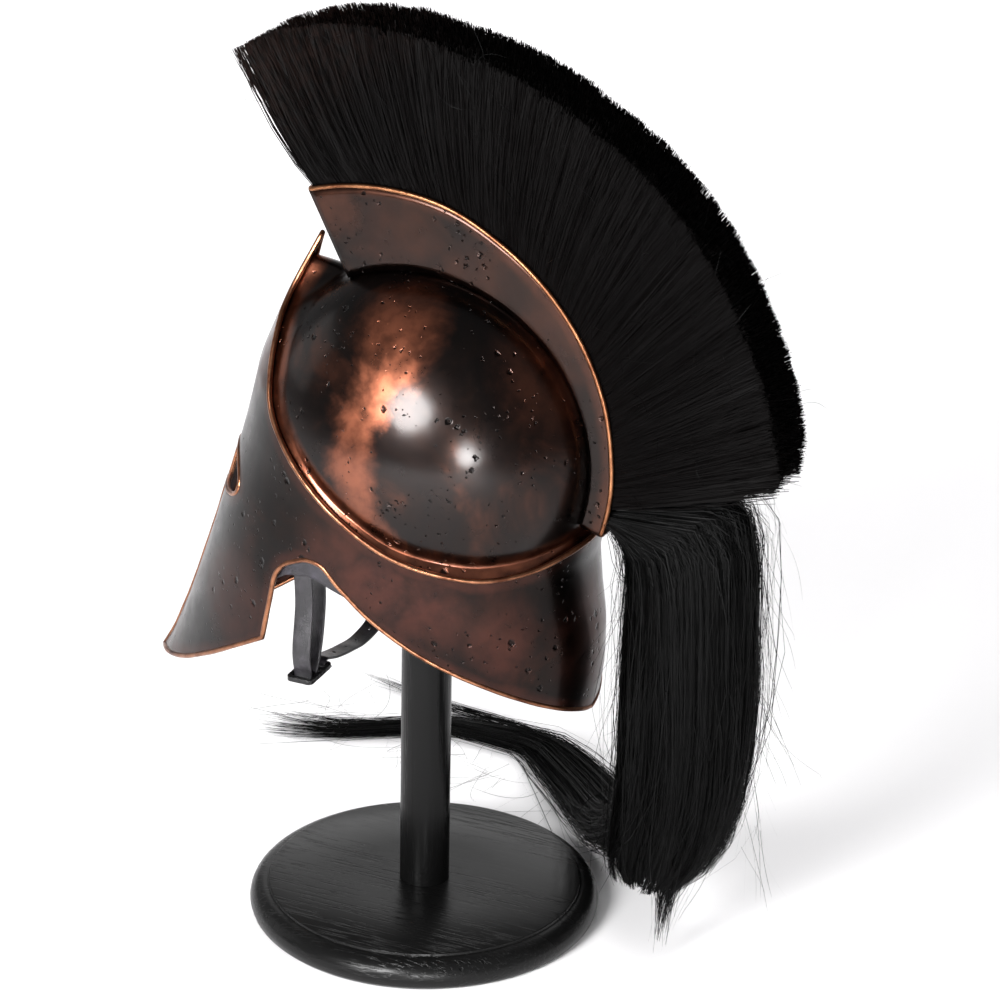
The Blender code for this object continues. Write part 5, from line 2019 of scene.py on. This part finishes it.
@dataclass
class Stand:
    """The turned base with its moulded edge, and the post with its knob."""

    form: HelmetForm
    base_r: float = 0.120
    base_t: float = 0.022
    groove_r: float = 0.107
    groove_w: float = 0.0006
    groove_d: float = 0.0004
    post_r: float = 0.017
    knob_r: float = 0.042
    knob_h: float = 0.036
    dome_r: float = 0.058
    knob_gap: float = 0.0014
    edge: Profile = Profile(
        (0.0, 0.0118), (0.08, 0.0095), (0.25, 0.0055), (0.45, 0.0022), (0.62, 0.0005), (0.74, 0.0000),
        (0.90, 0.0012), (1.00, 0.0040),
    )
    edge_height: Profile = Profile(
        (0.0, 0.90), (0.08, 0.88), (0.25, 0.80), (0.45, 0.66), (0.62, 0.50), (0.74, 0.36),
        (0.90, 0.14), (1.00, 0.00),
    )
    base_wood: PaintedWood = PaintedWood("ash_painted_base", "#0b0b0b", Grain.ALONG_Y)
    post_wood: PaintedWood = PaintedWood("ash_painted_post", "#080808", Grain.ALONG_Z, shine=0.16)

    def turned(self, name: str, profile: Array, steps: int) -> Object:
        """Turn a profile round the Z axis.

        Args:
            name: name of the piece.
            profile: rows of radius and height.
            steps: number of sides.

        Returns:
            The piece.
        """
        angles = spread(0.0, 2.0 * np.pi, steps)[:-1]
        columns = stack(
            profile[None, :, 0] * np.cos(angles)[:, None], profile[None, :, 0] * np.sin(angles)[:, None],
            profile[None, :, 1],
        )
        obj = grids_object(name, [columns], mirror=False, closed=True)
        obj.data.set_sharp_from_angle(angle=math.radians(38))
        return obj

    def build(self) -> None:
        """Make the base and the post."""
        share = spread(0.0, 1.0, 40)
        edge = np.stack((self.base_r - self.edge(share), self.base_t * self.edge_height(share)), axis=1)
        top = np.array((
            (0.0, self.base_t), (0.05, self.base_t), (self.groove_r - self.groove_w, self.base_t),
            (self.groove_r, self.base_t - self.groove_d),
            (self.groove_r + self.groove_d, edge[0][1] + self.groove_d),
        ))
        profile = np.concatenate((top, edge, np.array(((0.06, 0.0), (0.0, 0.0)))))
        base = self.turned("base_turned", profile, 160)
        dress(base, self.base_wood.build(), "black_painted_wood", "stand_base")
        inner = self.form.skull_r - self.form.sheet
        high = self.form.centre[2] + math.sqrt(inner ** 2 - self.form.centre[1] ** 2) - self.knob_gap
        r = spread(0.0, self.knob_r, 16)
        dome = np.stack((r, high - self.dome_r + np.sqrt(self.dome_r ** 2 - r ** 2)), axis=1)
        foot = self.base_t + self.form.fit_gap
        rest = np.array((
            (self.knob_r, high - 0.75 * self.knob_h), (0.85 * self.knob_r, high - self.knob_h),
            (self.post_r, high - self.knob_h), (self.post_r, foot + 0.15), (self.post_r, foot), (0.0, foot),
        ))
        post = self.turned("post_turned", np.concatenate((dome, rest)), 72)
        dress(post, self.post_wood.build(), "black_painted_post", "stand_post")


# Studio

class LampShape(Enum):
    """Outline of a soft light."""

    SQUARE = "SQUARE"
    ROUND = "DISK"


@dataclass(frozen=True)
class SoftBox:
    """A soft light: where it hangs, where it points, its side in metres and its power."""

    name: str
    place: tuple[float, float, float]
    aim: tuple[float, float, float]
    side: float
    watts: float
    seen_in_gloss: bool = True
    shape: LampShape = LampShape.SQUARE


@dataclass
class Studio:
    """Pale floor, soft light and the camera at the photograph's angle."""

    eye: tuple[float, float, float] = (2.4919, 1.1612, 1.5658)
    right: tuple[float, float, float] = (-0.4136, 0.9103, 0.0167)
    up: tuple[float, float, float] = (-0.3728, -0.1860, 0.9091)
    back: tuple[float, float, float] = (0.8306, 0.3698, 0.4163)
    lens_mm: float = 164.1
    floor_half: float = 9.0
    floor_paper: str = "#f4f3f4"
    fibre_mm: float = 3.0
    surround: str = "#f2f1f3"
    surround_strength: float = 0.25
    boxes: tuple[SoftBox, ...] = (
        SoftBox("key", (1.61, -0.175, 0.837), (0.085, 0.025, 0.409), 0.66, 54.0, shape=LampShape.ROUND),
        SoftBox("second", (1.53, 0.732, 0.271), (0.080, 0.065, 0.383), 0.32, 17.0, shape=LampShape.ROUND),
        SoftBox("overhead", (0.5, 0.5, 2.8), (0.1, 0.2, 0.2), 2.8, 35.0, False),
        SoftBox("backdrop", (-2.2, -1.0, 2.2), (-2.6, -1.2, 0.0), 2.0, 70.0, False),
        SoftBox("back_wall", (-3.4, -1.5, 1.7), (0.0, 0.0, 0.5), 3.2, 26.0),
        SoftBox("left_strip", (0.2, -2.0, 0.9), (0.0, -0.1, 0.3), 1.0, 2.5),
        SoftBox("rear_strip", (0.9, 2.0, 1.3), (0.0, 0.2, 0.4), 1.1, 5.0, False),
    )

    def build_floor(self) -> None:
        """A plain pale floor, the sweep of a photographer's table."""
        half = self.floor_half
        line = spread(-half, half, 8)
        grid = stack(line[:, None], line[None, :], 0.0)
        floor = grids_object("floor", [grid], mirror=False)
        mat, tree, shader, place = start_material("matt_white_sweep")
        fibre = add_node(tree, "TexNoise", {
            "Vector": place, "Scale": per_metre(self.fibre_mm), "Detail": 3.0,
        })
        rough = add_node(tree, "MapRange", {
            "Value": fibre.outputs["Fac"], "To Min": 0.75, "To Max": 0.95,
        })
        tree.links.new(rough.outputs[0], shader.inputs["Roughness"])
        shader.inputs["Base Color"].default_value = linear(self.floor_paper)
        floor.data.materials.append(mat)

    def build_lights(self) -> None:
        """Soft boxes and a dim even surround."""
        for box in self.boxes:
            light = bpy.data.lights.new(box.name, "AREA")
            light.shape = box.shape.value
            light.size = box.side
            light.energy = box.watts
            lamp = bpy.data.objects.new(box.name, light)
            lamp.location = box.place
            aim = Vector(box.aim) - Vector(box.place)
            lamp.rotation_mode = "QUATERNION"
            lamp.rotation_quaternion = aim.to_track_quat("-Z", "Y")
            lamp.visible_glossy = box.seen_in_gloss
            bpy.context.scene.collection.objects.link(lamp)
        world = bpy.data.worlds.new("studio")
        world.use_nodes = True
        shade = world.node_tree.nodes["Background"]
        shade.inputs["Color"].default_value = linear(self.surround)
        shade.inputs["Strength"].default_value = self.surround_strength
        bpy.context.scene.world = world

    def build_camera(self) -> None:
        """The camera where the photograph was taken from."""
        camera = bpy.data.cameras.new("photograph")
        camera.lens = self.lens_mm
        camera.sensor_width = 36.0
        camera.clip_start, camera.clip_end = 0.1, 60.0
        holder = bpy.data.objects.new("photograph", camera)
        turn = Matrix((self.right, self.up, self.back)).transposed().to_4x4()
        holder.matrix_world = Matrix.Translation(self.eye) @ turn
        bpy.context.scene.collection.objects.link(holder)
        bpy.context.scene.camera = holder

    def build(self) -> None:
        """Make the studio."""
        self.build_camera()
        self.build_floor()
        self.build_lights()
        bpy.context.scene.view_settings.view_transform = "Standard"


def main() -> None:
    """Build every piece in order."""
    logging.basicConfig(level=logging.INFO, format="%(name)s: %(message)s")
    form = HelmetForm()
    Studio().build()
    BronzeWork(form).build()
    Harness(form).build()
    Stand(form).build()
    crest = Crest(form, np.random.default_rng(11))
    crest.build()
    tail = Tail(form, np.random.default_rng(23))
    finish = tail.hair.build()
    tail.build(finish)
    LooseHair(crest, np.random.default_rng(31)).build(finish)


if __name__ == "__main__":
    main()
